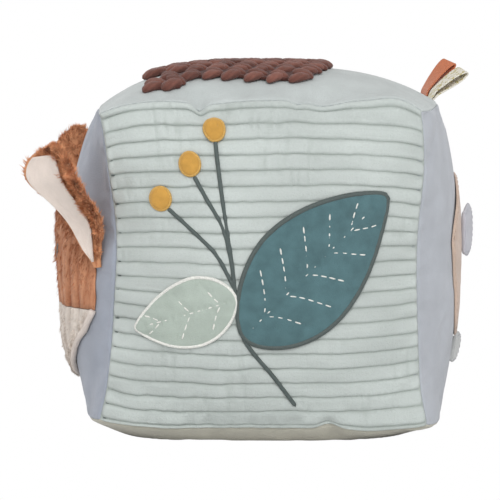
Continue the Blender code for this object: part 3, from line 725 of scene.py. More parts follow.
def make_plain_panel(panel, look, seed, depth):
    half_r, half_u = PANEL_HALVES[panel]
    r, u = np.meshgrid(edge_shares(96, half_r), edge_shares(96, half_u))
    lift = sum(folds(panel, r, u, seed, depth))
    lift = lift * soft_step((1 - np.maximum(np.abs(r), np.abs(u))) * half_r, 0, 2 * MM)
    lift = np.minimum(lift, 0) + FOLD_OUT_SHARE * np.maximum(lift, 0)
    outer = sewn(panel, r, u, lift)
    inner = sewn(panel, r, u, lift - PANEL_CLOTH * 0.75)
    add_shell(panel + "_cover", outer, inner, look, panel + "_panel")


# Corduroy.
RIBS = 21.9
RIB_SHIFT = 0.65
RIB_RISE = 0.9 * MM
GROOVE = 0.15 * MM
RIB_PHASES = (-1, -0.96, -0.9, -0.8, -0.67, -0.52, -0.4, -0.28, 0, 0.28, 0.4, 0.52, 0.67, 0.8, 0.9, 0.96)
RIB_POWER = 4
NAP_LINE = 0.4
NAP_SPREAD = 0.09
RIB_END = 1.8 * MM
RIB_END_GAP = 0.5 * MM
# Layers of noise: weight, share along the ribs, size in millimetres and seed.
WOBBLE = ((0.01, 1, 24, 1), (0.005, 1, 9, 2), (0.0032, 1, 4, 9))
UNEVEN = ((0.18, 1, 12, 4), (0.12, 0.3, 3, 8), (0.07, 0.12, 1.4, 15), (0.05, 1, 1.6, 5))


def make_corduroy():
    """Front panel: ribs of pile with rounded ends and thin grooves."""
    phases = np.array(RIB_PHASES)
    rows = np.concatenate([(rib - RIB_SHIFT + (phases + 1) / 2) / RIBS * 2 - 1 for rib in range(24)])
    extra = 1 - np.array((0, 0.15, 0.5)) * MM / HALF_Z
    rows = np.sort(np.concatenate((rows[np.abs(rows) < extra[-1]], extra, -extra)))
    r, u = np.meshgrid(edge_shares(280, HALF_X), rows)
    t = ((u + 1) / 2 * RIBS + RIB_SHIFT) % 1 * 2 - 1
    place = level(r * HALF_X, u * HALF_Z)
    flowing = u + layered(place, WOBBLE) * soft_step(1 - np.abs(u), 0, 0.12)
    end = np.clip(1 - ((1 - np.abs(r)) * HALF_X - RIB_END_GAP) / RIB_END, 0, 1)
    profile = (1 - np.minimum(np.sqrt(t * t + end * end), 1) ** RIB_POWER) ** 0.85
    pulls = np.clip(noise(place, 15 * MM, 44) * 2.5 - 0.3, 0, 1) * noise(place * (1, 0.2, 1), 1.5 * MM, 16)
    nap = bell(np.abs(t), NAP_SPREAD, NAP_LINE)
    nap = nap * np.clip(noise(place * (0.3, 1, 1), 9 * MM, 18) * 1.2 + 0.5, 0, 1)
    height = profile * (1 + (layered(place, UNEVEN) + 0.34 * pulls - 0.1 * nap))
    strong = np.clip(0.8 - 0.25 * r + 0.7 * noise(place * (0.5, 1, 1), 16 * MM, 12), 0.25, 1.5)
    lift = RIB_RISE - (RIB_RISE * (0.55 + 0.45 * strong) + GROOVE * strong) * (1 - height)
    lift = lift * soft_step((1 - np.abs(r)) * HALF_X, 0, 1.4 * MM)
    small, broad = folds("front", r, u, 21, 0)[0], folds("front", r, u, 25, FRONT_FOLD_DEPTH)[1]
    lift = (lift + small + broad) * soft_step((1 - np.abs(u)) * HALF_Z, 0, 0.8 * MM)
    outer = sewn("front", r, flowing, lift)
    inner = sewn("front", r, flowing, -PANEL_CLOTH * 0.75)
    # The tone follows the relief: grooves, faint nap lines and sunk pulls go over to the shade colour and
    # raised pulls are lighter, as painted shade and light. The streaks vary at random, the grooves are
    # lighter in random places, and the rolled rib ends are kept light.
    streaks = 0.16 * noise(place * (0.1, 1, 1), 1.5 * MM, 15) + 0.45 * pulls
    faint = 0.3 * np.clip(noise(place, 26 * MM, 46) + 0.2, 0, 1)
    tone = np.clip(profile * (1.1 + streaks) - 0.16 * nap + 0.35 * end + faint * (1 - profile), 0, 1)
    add_shell("corduroy_cover", outer, inner, "corduroy", "front_panel", tone=tone)


make_corduroy()
for panel, seed in (("left", 31), ("right", 41), ("top", 51), ("back", 61)):
    make_plain_panel(panel, panel + "_velour", seed, FOLD_DEPTH)
make_plain_panel("bottom", "bottom_cloth", 71, BOTTOM_FOLD_DEPTH)


# Seam stitches, which also stand for the creases' painted shade: how far along a seam they reach, how deep
# they lie in its crease, and their least height.
SEAM_END = 0.985
SEAM_STEPS = 400
SEAM_DEPTH_SHARE = 0.93
SEAM_FLOOR = 0.6 * MM
# Tacks, which also stand for the shadows at the grooves' ends: inset and half length in millimetres, what
# chance adds to each, and half width and height.
TACK_INSET = 2.4
TACK_INSET_MORE = 0.5
TACK_HALF = 0.75
TACK_HALF_MORE = 0.35
TACK_SINK = 0.05 * MM
TACK_GIRTH = (0.3 * MM, 0.4 * MM)


def make_seams():
    """Short grey stitches at the bottom of each crease, which also stand for the crease's painted shade."""
    lines = []
    share = np.linspace(-SEAM_END, SEAM_END, SEAM_STEPS)[:, None]
    for axes in ((0, 1), (0, 2), (1, 2)):
        for sides in ((-1, -1), (-1, 1), (1, -1), (1, 1)):
            corner = np.zeros(3)
            corner[list(axes)] = sides
            points = form(corner + (1 - np.abs(corner)) * share)
            outward = np.broadcast_to(unit(corner), points.shape)
            lines.append((on_floor(points - outward * ROLL_DEPTH * SEAM_DEPTH_SHARE, SEAM_FLOOR), outward))
    sew("seam_shade_stitches", lines, SEAM_STITCH, "seam_thread")


def make_tacks():
    """Small dark stitches at the ends of the corduroy's grooves, which also stand for the painted shadows in
    the puckers there.
    """
    grooves = (np.arange(1, 22) - RIB_SHIFT) / RIBS * 2 - 1
    for name, side, look in (("left_seam_shadow_tacks", -1, "dark_thread"), ("right_seam_shadow_tacks", 1, "seam_thread")):
        inset = TACK_INSET + TACK_INSET_MORE * chance.random(len(grooves))
        r = side * (1 - inset * MM / HALF_X)
        point, right, _, outward = panel_frame("front", r, grooves)
        half = right * (TACK_HALF + TACK_HALF_MORE * chance.random((len(grooves), 1))) * MM
        base = point - outward * TACK_SINK
        add_stitches(name, base - half, base + half, outward, *TACK_GIRTH, look)


make_seams()
make_tacks()


# Leaf design on the corduroy: sizes in millimetres, and places as shares of the panel.
SEAT = RIB_RISE + GAP
LEAVES = {
    "large_leaf": {"length": 86, "width": 47, "base": (-0.12, -0.4), "tilt": 42},
    "small_leaf": {"length": 49, "width": 28, "base": (-0.17, -0.17), "tilt": 196},
}
# Relief of a leaf: its rim, puff and crown, how far veins and ribs show, and its grain.
LEAF_RIM = 0.35 * MM
LEAF_PUFF = 0.75 * MM
LEAF_CROWN = 0.35 * MM
QUILT_DEPTH = 0.5 * MM
QUILT_SPREAD = 1.3 * MM
RIB_SHOW = 0.1 * MM
LEAF_GRAIN = 0.12 * MM
LEAF_GRAIN_SIZE = 6 * MM
LEAF_SINK = 0.15 * MM
VEIN_LIFT = 0.8 * MM
BORDER_LIFT = 0.25 * MM
BORDER_HEIGHT = 0.85 * MM
BERRIES = ((-0.47, 0.62), (-0.67, 0.42), (-0.3, 0.82))
BERRY_RADIUS = 4.6 * MM
BERRY_RIM = 0.4 * MM
BERRY_PUFF = 1.5 * MM
BERRY_GRAIN = 0.05 * MM
BERRY_GRAIN_SIZE = 1.4 * MM
BERRY_SINK = 0.2 * MM
BERRY_TWISTS = 44
BERRY_BORDER_LIFT = 0.15 * MM
BERRY_BORDER_WIDTH = 0.7 * MM
BERRY_BORDER_HEIGHT = 0.75 * MM
STEM_LIFT = 0.1 * MM
STEM_WIDTH = 0.95 * MM
STEM_HEIGHT = 0.75 * MM
STEM_TAPER = 1.2 * MM
# Stem on the flat panel, in millimetres from its middle.
STEMS = (
    ((15, -57), (5, -44), (-8.6, -28), (-12.2, -12), (-15.5, 8), (-19, 28), (-20.8, 42), (-21.5, 52.6)),
    ((-14.5, 2), (-19, 17), (-27, 29), (-32.5, 38)),
    ((-12.8, -8), (-22, 6), (-34, 16), (-45.5, 25)),
)


def leaf_flat(leaf, along, v):
    """Place on the flat panel of a leaf, along it from 0 to 1 and across it from -1 to 1."""
    length, width = leaf["length"] * MM, leaf["width"] * MM
    tilt = math.radians(leaf["tilt"])
    girth = np.maximum(np.sin(math.pi * np.clip(along, 0, 1) ** 0.8), 0) ** 0.75
    across = v * width / 2 * np.maximum(girth, 0.05)
    reach = along * length
    right = leaf["base"][0] * HALF_X + reach * math.cos(tilt) - across * math.sin(tilt)
    up = leaf["base"][1] * HALF_Z + reach * math.sin(tilt) + across * math.cos(tilt)
    return np.stack((right, up), -1)


def veins_of(leaf, count):
    """Vein lines of a leaf on the flat panel."""
    t = np.linspace(0, 1, 40)
    lines = [leaf_flat(leaf, 0.06 + 0.84 * t, 0 * t)]
    for k in range(count):
        start = 0.16 + 0.6 * k / max(count - 1, 1)
        for side in (-1, 1):
            lines.append(leaf_flat(leaf, start + 0.13 * t**0.8, side * (0.05 + 0.7 * t)))
    return lines


def on_front(line, lift):
    return on_panel("front", line[:, 0], line[:, 1], lift)[:2]


def make_leaf(name, look, border_look, wide, veins):
    leaf = LEAVES[name]
    along = (1 - np.cos(np.linspace(0, math.pi, 120))) / 2
    v = np.sin(np.linspace(-math.pi / 2, math.pi / 2, 61))
    along, v = np.meshgrid(along, v, indexing="ij")
    spots = leaf_flat(leaf, along, v)
    right, up = np.moveaxis(spots, -1, 0)
    lines = veins_of(leaf, veins)
    quilt = 0
    for line in lines:
        gap = np.linalg.norm(spots[:, :, None] - line[None, None, ::3], axis=-1).min(-1)
        quilt = np.maximum(quilt, bell(gap, QUILT_SPREAD))
    ribs = np.cos(((up / HALF_Z + 1) / 2 * RIBS + RIB_SHIFT) * 2 * math.pi)
    puff = LEAF_PUFF + LEAF_CROWN * (1 - v * v) - QUILT_DEPTH * quilt - RIB_SHOW * ribs
    puff = puff + LEAF_GRAIN * noise(level(right, up), LEAF_GRAIN_SIZE, 6)
    lift = SEAT + LEAF_RIM + puff * rounded(v, 6) * rounded(2 * along - 1, 14)
    outer = on_panel("front", right, up, lift)[0]
    inner = on_panel("front", right, up, SEAT - LEAF_SINK)[0]
    piece = add_shell(name + "_velour", outer[:, ::-1], inner[:, ::-1], look, name + "_patch")
    sew(name + "_veins", [on_front(line, SEAT + VEIN_LIFT) for line in lines], VEIN_STITCH, "white_thread")
    t = np.linspace(0.004, 0.996, 300)
    there, back = leaf_flat(leaf, t, 1.0), leaf_flat(leaf, t[::-1], -1.0)
    outline = even_path(np.concatenate((there, back, there[:2])), THREAD_STEP * MM)
    twist = twisted(len(outline))
    run = (*on_front(outline, SEAT + BORDER_LIFT), wide * twist, BORDER_HEIGHT * twist)
    add_tubes(name + "_border", [run], border_look)


def make_berries():
    for number, (right_share, up_share) in enumerate(BERRIES, 1):
        reach, ring = dome_grid(14, 48)
        centre = np.array((right_share * HALF_X, up_share * HALF_Z))
        x = reach * np.cos(ring) * BERRY_RADIUS
        y = reach * np.sin(ring) * BERRY_RADIUS
        grain = noise(level(x, y, number), BERRY_GRAIN_SIZE, number)
        lift = SEAT + BERRY_RIM + BERRY_PUFF * rounded(reach, 3) + BERRY_GRAIN * grain
        spots = (centre[0] + x, centre[1] + y, lift, SEAT - BERRY_SINK)
        add_dome(f"berry_{number}", "front", *spots, "mustard_felt", f"berry_patch_{number}")
        turn = np.linspace(0, 2 * math.pi, 130)
        line = centre + BERRY_RADIUS * np.stack((np.cos(turn), np.sin(turn)), -1)
        twist = 1 + 0.1 * np.cos(turn * BERRY_TWISTS)
        places = on_front(line, SEAT + BERRY_BORDER_LIFT)
        run = (*places, BERRY_BORDER_WIDTH * twist, BERRY_BORDER_HEIGHT * twist)
        add_tubes(f"berry_{number}_border", [run], "mustard_thread")


def make_stem():
    runs = []
    for points in STEMS:
        line = smooth_path(np.array(points) * MM, THREAD_STEP * MM)
        order = np.arange(len(line))
        end = np.minimum(order, order[::-1]) * THREAD_STEP * MM
        twist = twisted(len(line)) * np.sqrt(np.clip(end / STEM_TAPER, 0.05, 1))
        runs.append((*on_front(line, RIB_RISE + STEM_LIFT), STEM_WIDTH * twist, STEM_HEIGHT * twist))
    add_tubes("stem_stitches", runs, "dark_thread")


make_leaf("large_leaf", "teal_velour", "dark_thread", 1.15 * MM, 5)
make_leaf("small_leaf", "sage_velour", "white_thread", 0.8 * MM, 3)
make_berries()
make_stem()


# Plush head on the left panel.
HEAD_WIDTH = 119 * MM
HEAD_HEIGHT = 58 * MM
MUZZLE_HEIGHT = 33 * MM
HEAD_PAD = 4.6 * MM
HEAD_RIM = 1.6 * MM
MUZZLE_SEAM = -0.3 * HALF_Z
SEAM_DIP_SHARE = 0.35
LEAST_WIDTH = 0.04
# For each half: side of the seam, height, power of its outline, look, and its fur's count, length and width.
HEADS = {
    "head": (1, HEAD_HEIGHT, 2.6, "brown_plush", 21000, 2.0 * MM, 0.36 * MM),
    "muzzle": (-1, MUZZLE_HEIGHT, 1.3, "cream_plush", 9000, 1.3 * MM, 0.3 * MM),
}
# Pleats of the plush: places across the head and depths, in millimetres.
PLEAT_PLACES = (-50, -41, -30, -17, -6, 7, 19, 30, 39, 46.5, 53)
PLEAT_DEPTHS = (0.9, 0.7, 1.1, 0.8, 0.6, 0.9, 0.7, 1.1, 1.3, 1.1, 0.9)
PLEAT_WIDTH = 1.7 * MM
PLEAT_SWAY = 1.8 * MM
PLEAT_SWAY_LENGTH = 11 * MM
PLEAT_REACH_UP = 42 * MM
PLEAT_REACH_DOWN = 15 * MM
FUR_SINK = 0.3 * MM
HEM_STEPS = 120
HEM_STEP = 1 * MM
HEM_LIFT = 1.6 * MM
HEM_WIDTH = 1.5 * MM
HEM_HEIGHT = 1.4 * MM
# Generic stitched eyes and nose: place, half width and half height.
EYE_PLACE = 21 * MM
EYE_HEIGHT = 4 * MM
SATIN_RISE = 0.4 * MM
SATIN_PITCH = 0.7 * MM
SATIN_RIDGE = 0.05 * MM
SATIN_DEPTH = 1 * MM
BARE_SHARE = 0.55
FACE = (
    ((EYE_PLACE, EYE_HEIGHT), 2.9 * MM, 3.9 * MM),
    ((-EYE_PLACE, EYE_HEIGHT), 2.9 * MM, 3.9 * MM),
    ((0, MUZZLE_SEAM - 1 * MM), 6.5 * MM, 4.5 * MM),
)


def patch_grid(columns, rows):
    """Shares across a piece, closer together at its edges, and along it."""
    return np.meshgrid(np.sin(np.linspace(-math.pi / 2, math.pi / 2, columns)), np.linspace(0, 1, rows))


def rounded_end(row, power):
    turn = row * math.pi / 2
    return np.sin(turn) ** (2 / power), np.maximum(np.cos(turn), 0) ** (2 / power)


def pad_height(across, reach):
    dip = 1 - SEAM_DIP_SHARE * (1 - np.minimum(reach / SEAM_DIP_SHARE, 1))
    return HEAD_RIM + (HEAD_PAD - HEAD_RIM) * rounded(across, 3) * rounded(reach, 3) * dip


def pleats(right, up):
    """Depth of the plush head's upright pleats at places on the flat panel."""
    above = up - MUZZLE_SEAM
    fade = np.exp(-np.abs(above) / np.where(above > 0, PLEAT_REACH_UP, PLEAT_REACH_DOWN))
    deepest = 0
    for place, depth in zip(PLEAT_PLACES, PLEAT_DEPTHS):
        sway = PLEAT_SWAY * np.sin(up / PLEAT_SWAY_LENGTH + place)
        deepest = np.maximum(deepest, depth * MM * bell(right - place * MM - sway, PLEAT_WIDTH))
    return deepest * fade


def plush_folds(right, up):
    return 0.7 * MM * noise(level(right, up * 0.35), 7 * MM, 13)


def plush_height(right, up):
    """Height of the plush over the panel at places near the middle of the head."""
    height = np.where(up > MUZZLE_SEAM, HEAD_HEIGHT, MUZZLE_HEIGHT)
    pad = pad_height(right / HEAD_WIDTH * 2, np.abs(up - MUZZLE_SEAM) / height)
    return GAP + pad + plush_folds(right, up) - pleats(right, up)


def head_place(name, across, row, extra=0.0):
    """Points of the head or muzzle, with directions up and outward, place on the panel and depth of pleat."""
    side, height, power = HEADS[name][:3]
    reach, width = rounded_end(row, power)
    right = across * (HEAD_WIDTH / 2 * np.maximum(width, LEAST_WIDTH))
    up = MUZZLE_SEAM + side * (GAP / 2 + reach * height)
    inside = hump(across, 6)
    pleat = pleats(right, up) * inside
    lift = GAP + pad_height(across, reach) + plush_folds(right, up) * inside - pleat + extra
    points, outward, rise = on_panel("left", right, up, lift)
    return points, rise, outward, right, up, pleat


def make_head():
    for name, (side, _, power, look, *_) in HEADS.items():
        across, row = patch_grid(141, 70)
        outer, _, outward, right, up, pleat = head_place(name, across, row)
        reach = rounded_end(row, power)[0]
        depth = pad_height(across, reach)
        edge = rounded(across, 10) * rounded(reach, 12)
        outer = outer - outward * (depth * 0.75 * (1 - edge))[..., None]
        inner = outer - outward * (depth * (0.25 + 0.7 * edge) - pleat)[..., None]
        # Streaks vary at random; the plush is darker where the pleats sink in, as painted shade.
        streaks = 0.3 * noise(level(right, up * 0.2), 1.3 * MM, 19)
        tone = 0.66 + streaks - 0.5 * pleat / MM
        outer, inner, tone = (values[::side] for values in (outer, inner, tone))
        add_shell(name + "_plush", outer, inner, look, name + "_pad", tone=tone)


def make_head_fur():
    for name, (_, _, _, look, count, length, width) in HEADS.items():
        across = np.clip(chance.uniform(-1.02, 1.02, count), -1, 1)
        row = np.arccos(1 - chance.random(count) * 0.98) / (math.pi / 2)
        root, rise, outward, right, up, pleat = head_place(name, across, row, -FUR_SINK)
        bare = [
            ((right - x) / wide) ** 2 + ((up - y) / high) ** 2 < BARE_SHARE for (x, y), wide, high in FACE
        ]
        root, rise, outward, pleat = (values[~np.any(bare, 0)] for values in (root, rise, outward, pleat))
        lean = lean_of(root, 3.2 * MM, 70)
        ways = outward * 0.32 - rise * 0.8 + lean * 0.6 + chance.normal(size=root.shape) * 0.14
        lengths = length * (0.75 + 0.5 * chance.random(len(root)))
        # Strands darker in the pleats: painted shade. The rest of their tone varies at random.
        tone = 0.74 + 0.14 * chance.normal(size=len(root)) + 0.3 * noise(root, 5 * MM, 77) - 0.45 * pleat / MM
        add_fur(name + "_fur", root, ways, lengths, np.clip(tone, 0.1, 1.15), lean - rise, width, look)


def make_hem():
    """Rolled hem round the muzzle."""
    row = np.concatenate((np.linspace(0.02, 0.995, HEM_STEPS), np.linspace(0.995, 0.02, HEM_STEPS)))
    across = np.repeat((1.0, -1.0), HEM_STEPS)
    reach, width = rounded_end(row, HEADS["muzzle"][2])
    right = across * HEAD_WIDTH / 2 * np.maximum(width, LEAST_WIDTH)
    flat = even_path(np.stack((right, MUZZLE_SEAM - GAP / 2 - reach * MUZZLE_HEIGHT), -1), HEM_STEP)
    path, outward, _ = on_panel("left", flat[:, 0], flat[:, 1], HEM_LIFT)
    swell = 1 + 0.1 * noise(path, 5 * MM, 15)
    run = (path, outward, HEM_WIDTH * swell, HEM_HEIGHT * swell)
    add_tubes("muzzle_hem", [run], "ear_lining_cloth", 12, slot="cream_plush")


def satin_patch(name, centre, half_wide, half_high, power=2, tilt=0.0):
    """Raised patch of satin stitch on the head, with fine ridges of thread."""
    reach, ring = dome_grid(12, 60)
    x = reach * (np.sign(np.cos(ring)) * np.abs(np.cos(ring)) ** (2 / power)) * half_wide
    y = reach * (np.sign(np.sin(ring)) * np.abs(np.sin(ring)) ** (2 / power)) * half_high
    right = centre[0] + x * (1 + tilt * y / half_high)
    up = centre[1] + y
    lift = plush_height(right, up) + SATIN_RISE * (rounded(reach, 4) - 0.2)
    lift = lift + SATIN_RIDGE * np.cos(right / SATIN_PITCH * 2 * math.pi)
    add_dome(name, "left", right, up, lift, lift[-1:] - SATIN_DEPTH, "dark_thread")


make_head()
make_head_fur()
make_hem()
satin_patch("near_eye", *FACE[0])
satin_patch("far_eye", *FACE[1])
satin_patch("nose", *FACE[2], 2.6, 0.25)


# Ears.
EAR_LENGTH = 55 * MM
EAR_WIDTH = 35 * MM
EAR_CLOTH = 2.4 * MM
EAR_LINING_CLOTH = 1.4 * MM
LAYER_GAP = 0.6 * MM
EAR_CUP = math.radians(52)
EAR_SWAY = 11 * MM
EAR_SWAY_START = 0.3
EAR_SWAY_END = 0.8
EAR_ROOT = 0.2
EAR_BROADEST = 0.68
EAR_WIDENING_POWER = 2
LINING_WIDTH = 0.62
LINING_LENGTH = 0.78
LINING_SHIFT = 0.34
EAR_SLIM = 0.34
EAR_SLIM_ROW = 0.43
EAR_SLIM_SPREAD = 0.2
EAR_FUR_WIDTH = 0.38 * MM
EAR_WAVE = 0.4 * MM
EAR_WAVE_SIZE = 7 * MM
EAR_LEAN_SIZE = 2.6 * MM
EAR_SHADE_SIZE = 3.2 * MM
ROUND_ROW = 0.55
AWAY = np.array((-1.0, 0, 0))
# For each ear: its root's place, how far that is tucked in, how the ear grows, how its lining faces, and
# the side that the lining lies towards.
EARS = {
    "near_ear": ((0.86, -0.02), 0.6 * MM, (-0.155, -0.06, 0.99), (-0.55, -0.79, -0.28), 1),
    "far_ear": ((-0.86, 0.05), 0.1 * MM, (-0.15, 0.05, 0.99), (-0.8, 0.54, -0.28), -1),
}
# Tufts on an ear: number of strands, shares across it with 1 at its outer rim, lifts and length in
# millimetres, how far they point along the ear, off it and aside, and the share along it where they start.
TUFTS = (
    (5200, (-1, 1), (-2.1, -1.9), 2.4, (0.6, -0.6, 0), 0.01),
    (6800, (-1, LINING_SHIFT - LINING_WIDTH + 0.1), (-0.3, 0), 2.8, (0.25, 0.6, -0.45), 0.01),
    (3600, (-1, -0.9), (-2, 0), 3.3, (0.25, 0.15, -1.0), 0.06),
    (500, (0.93, 1), (-2.2, -1), 0.6, (0.5, -0.4, 0.2), 0.01),
    (4200, (-1, 0.75), (-1.2, 0.2), 2.3, (0.4, 0.6, 0), 0.77),
    (900, (-1, 0.5), (-2, 0), 1.5, (0.8, 0.2, 0), 0.93),
)


def petal_row(row, root, broadest, power=1):
    """Place along a petal or ear and its girth there, both as shares."""
    rise = np.clip(row / ROUND_ROW, 0, 1)
    turn = np.clip((row - ROUND_ROW) / (1 - ROUND_ROW), 0, 1) * math.pi / 2
    early = row < ROUND_ROW
    along = np.where(early, broadest * rise, broadest + (1 - broadest) * np.sin(turn))
    widening = root + (1 - root) * np.sin(math.pi / 2 * rise) ** power
    return along, np.where(early, widening, np.maximum(np.cos(turn), LEAST_WIDTH))


def ear_row(row):
    return petal_row(row, EAR_ROOT, EAR_BROADEST, EAR_WIDENING_POWER)


def ear_surface(name):
    """Function from row, across and lift to points, directions along, across and off the ear."""
    shares, tuck, grows, faces, outer_side = EARS[name]
    grows = unit(np.array(grows))
    width = unit(np.cross(faces, grows))
    faces = np.cross(grows, width)
    point, _, _, outward = panel_frame("left", *shares, plain=True)
    root_half = EAR_WIDTH / 2 * EAR_ROOT * math.sin(EAR_CUP) / EAR_CUP
    lift = GAP + EAR_CLOTH * abs(faces @ outward) + root_half * abs(width @ outward)
    pivot = point + outward * (lift - tuck)

    def surface(row, across, lift):
        row, across, lift = np.broadcast_arrays(*(np.asarray(x, float) for x in (row, across, lift)))
        along, girth = ear_row(row)
        slim = EAR_SLIM * bell(row, EAR_SLIM_SPREAD, EAR_SLIM_ROW) * (across * outer_side > 0)
        girth = girth * (0.25 + 0.75 * soft_step(row, -0.01, 0.14))
        turn = (across * (1 - slim) * EAR_CUP)[..., None]
        along = along[..., None]
        leaning = np.clip((along - EAR_SWAY_START) / (EAR_SWAY_END - EAR_SWAY_START), 0, 1)
        slope = EAR_SWAY * 6 * leaning * (1 - leaning) / (EAR_SWAY_END - EAR_SWAY_START)
        middle = pivot + EAR_LENGTH * along * grows + EAR_SWAY * leaning**2 * (3 - 2 * leaning) * AWAY
        radius = (EAR_WIDTH / 2 * girth / EAR_CUP)[..., None]
        place = middle + radius * (np.sin(turn) * width + (1 - np.cos(turn)) * faces)
        lengthways = unit(EAR_LENGTH * grows + slope * AWAY)
        crossways = np.cos(turn) * width + np.sin(turn) * faces
        normal = unit(np.cross(lengthways, crossways))
        return place + normal * lift[..., None], lengthways, crossways, normal

    return surface


def ear_tuft(surface, outer_side, count, sides, lifts, length, lean_ways, start):
    """Strands of one tuft: roots, directions, lengths, shades and bends."""
    rows = start + (1 - start) * chance.random(count) ** 0.9
    rows = rows[chance.random(count) < np.maximum(ear_row(rows)[1], 0.3)]
    sides = chance.uniform(*sides, len(rows)) * outer_side
    lifts = chance.uniform(*lifts, len(rows)) * MM
    root, lengthways, crossways, normal = surface(rows, sides, lifts)
    lean = lean_of(root, EAR_LEAN_SIZE, 90)
    along, off, aside = lean_ways
    ways = lengthways * along + normal * off + crossways * (aside * outer_side)
    ways = ways + lean * 0.7 + chance.normal(size=root.shape) * 0.16
    lengths = length * MM * (0.7 + 0.55 * chance.random(len(rows))) * (0.12 + 0.88 * soft_step(rows, 0, 0.28))
    shade = 0.8 + 0.16 * chance.normal(size=len(rows)) + 0.4 * noise(root, EAR_SHADE_SIZE, 97)
    return root, ways, lengths, np.clip(shade, 0.08, 1.2), lean + lengthways * 0.4


def make_ear(name):
    surface = ear_surface(name)
    outer_side = EARS[name][4]
    across, row = patch_grid(49, 80)
    edge = rounded(across, 8) * rounded(row, 24)
    wave = noise(level(across * EAR_WIDTH / 2, row * EAR_LENGTH), EAR_WAVE_SIZE, 17) * edge

    def layer(low, high, width_share=1, length_share=1, shift=0, waves=0):
        rows = (1 - length_share) * 0.2 + row * length_share
        sides = across * width_share + shift
        middle, half = (low + high) / 2, (high - low) / 2
        outer = surface(rows, sides, middle + half * edge + waves * wave)[0]
        inner = surface(rows, sides, middle - half * edge + np.minimum(waves * wave, 0))[0]
        return outer[:, ::-1], inner[:, ::-1]

    tone = np.full(row.shape, 0.6)
    plush = layer(-EAR_CLOTH, 0)
    back = add_shell(name + "_plush", *plush, "ear_plush", name + "_back", body=name, tone=tone)
    lifts = (LAYER_GAP, LAYER_GAP + EAR_LINING_CLOTH)
    lining = layer(*lifts, LINING_WIDTH, LINING_LENGTH, LINING_SHIFT * outer_side, EAR_WAVE)
    piece = add_shell(name + "_lining_cloth", *lining, "ear_lining_cloth", name + "_lining", body=name)
    tufts = [ear_tuft(surface, outer_side, *tuft) for tuft in TUFTS]
    strands = [np.concatenate(parts) for parts in zip(*tufts)]
    piece = add_fur(name + "_fur", *strands, EAR_FUR_WIDTH, "ear_plush", body=name)


make_ear("near_ear")
make_ear("far_ear")


# Bloom and petals on the right panel.
BLOOM_RADIUS = 36 * MM
BLOOM_HEIGHT = -0.02 * HALF_Z
BLOOM_SCALLOPS = 5
BLOOM_RIM = 0.5 * MM
BLOOM_PUFF = 0.9 * MM
BLOOM_GRAIN = 0.2 * MM
BLOOM_GRAIN_SIZE = 7 * MM
BLOOM_CREASE = 0.4 * MM
BLOOM_STITCH_LIFT = 1.1 * MM
PETAL_CLOTH = 2 * MM
PETAL_ROOT = 0.4 * MM
PETAL_ROOT_SHARE = 0.08
PETAL_BROADEST = 0.55
PETAL_WIDEST_ROOT = 0.8
PETAL_WAVE = 0.2 * MM
PETAL_WAVE_SIZE = 6 * MM
PETAL_RIM_STEPS = 80
PETAL_RIM_STEP = 0.5 * MM
PETAL_RIM_END = 0.93
STITCH_INSET = 0.84
# For each petal: its root's place, length, width, lean in degrees, curl, skew in millimetres, seat and look.
PETALS = {
    "upper_petal": ((-0.08, 0.14), 25, 25, 10, 0.015, 2.5, GAP + PATCH_CLOTH, "lilac_velour"),
    "lower_petal": ((-0.06, -0.62), 20, 15, 11, 0.02, 0, 0.0, "grey_velour"),
}


def bloom_flat(reach, angle):
    radius = BLOOM_RADIUS * reach * (1 + 0.06 * reach * reach * np.cos(BLOOM_SCALLOPS * angle))
    return radius * np.sin(angle), BLOOM_HEIGHT + radius * np.cos(angle)


def make_bloom():
    reach, angle = dome_grid(40, 150)
    right, up = bloom_flat(reach, angle)
    crease = bell((angle * BLOOM_SCALLOPS / (2 * math.pi) + 0.5) % 1, 0.05, 0.5) * soft_step(reach, 0.25, 0.7)
    puff = BLOOM_PUFF + BLOOM_GRAIN * noise(level(right, up), BLOOM_GRAIN_SIZE, 23) - BLOOM_CREASE * crease
    spots = (right, up, GAP + BLOOM_RIM + puff * rounded(reach, 14), GAP)
    piece = add_dome("bloom_velour", "right", *spots, "peach_velour", "bloom_patch", flip=False)
    rim = bloom_flat(np.full(600, 0.965), np.linspace(0, 2 * math.pi, 600))
    line = on_panel("right", *rim, GAP + BLOOM_STITCH_LIFT)[:2]
    sew("bloom_stitches", [line], BLOOM_STITCH, "peach_thread")


def make_petal(name):
    shares, length, width, lean, curl_share, skew, seat, look = PETALS[name]
    length, width, skew, lean = length * MM, width * MM, skew * MM, math.radians(lean)
    point, right, up, outward = panel_frame("right", *shares, plain=True)
    pivot = point + outward * (seat + GAP + PETAL_CLOTH / 2)
    grows = right * math.cos(lean) + outward * math.sin(lean)
    faces = unit(np.cross(grows, up))

    def surface(row, across, lift):
        along, girth = petal_row(row, PETAL_WIDEST_ROOT, PETAL_BROADEST)
        curl = curl_share * along * along
        middle = pivot + length * (along[..., None] * grows + curl[..., None] * faces)
        aside = skew * along**2 + across * width / 2 * girth
        return middle + up * aside[..., None] + faces * lift[..., None]

    across, row = patch_grid(41, 50)
    edge = rounded(across, 8) * rounded(row, 24)
    wave = PETAL_WAVE * noise(level(across * width / 2, row * length), PETAL_WAVE_SIZE, 27) * edge
    root = PETAL_ROOT * bell(row, PETAL_ROOT_SHARE)
    outer = surface(row, across, PETAL_CLOTH / 2 * edge + wave)
    inner = surface(row, across, -PETAL_CLOTH / 2 * edge + wave - root)
    piece = add_shell(name + "_velour", outer, inner, look, name, body=name)
    t = np.linspace(0.05, 1, PETAL_RIM_STEPS)
    rim_row = np.minimum(np.concatenate((t, t[::-1])), PETAL_RIM_END)
    rim_side = np.repeat((STITCH_INSET, -STITCH_INSET), PETAL_RIM_STEPS)
    line = even_path(surface(rim_row, rim_side, np.full(rim_row.shape, PETAL_CLOTH / 2)), PETAL_RIM_STEP)
    lines = [(line, np.broadcast_to(faces, line.shape))]
    sew(name + "_stitches", lines, PETAL_STITCH, "lilac_thread", body=name, slot=look)


make_bloom()
make_petal("upper_petal")
make_petal("lower_petal")


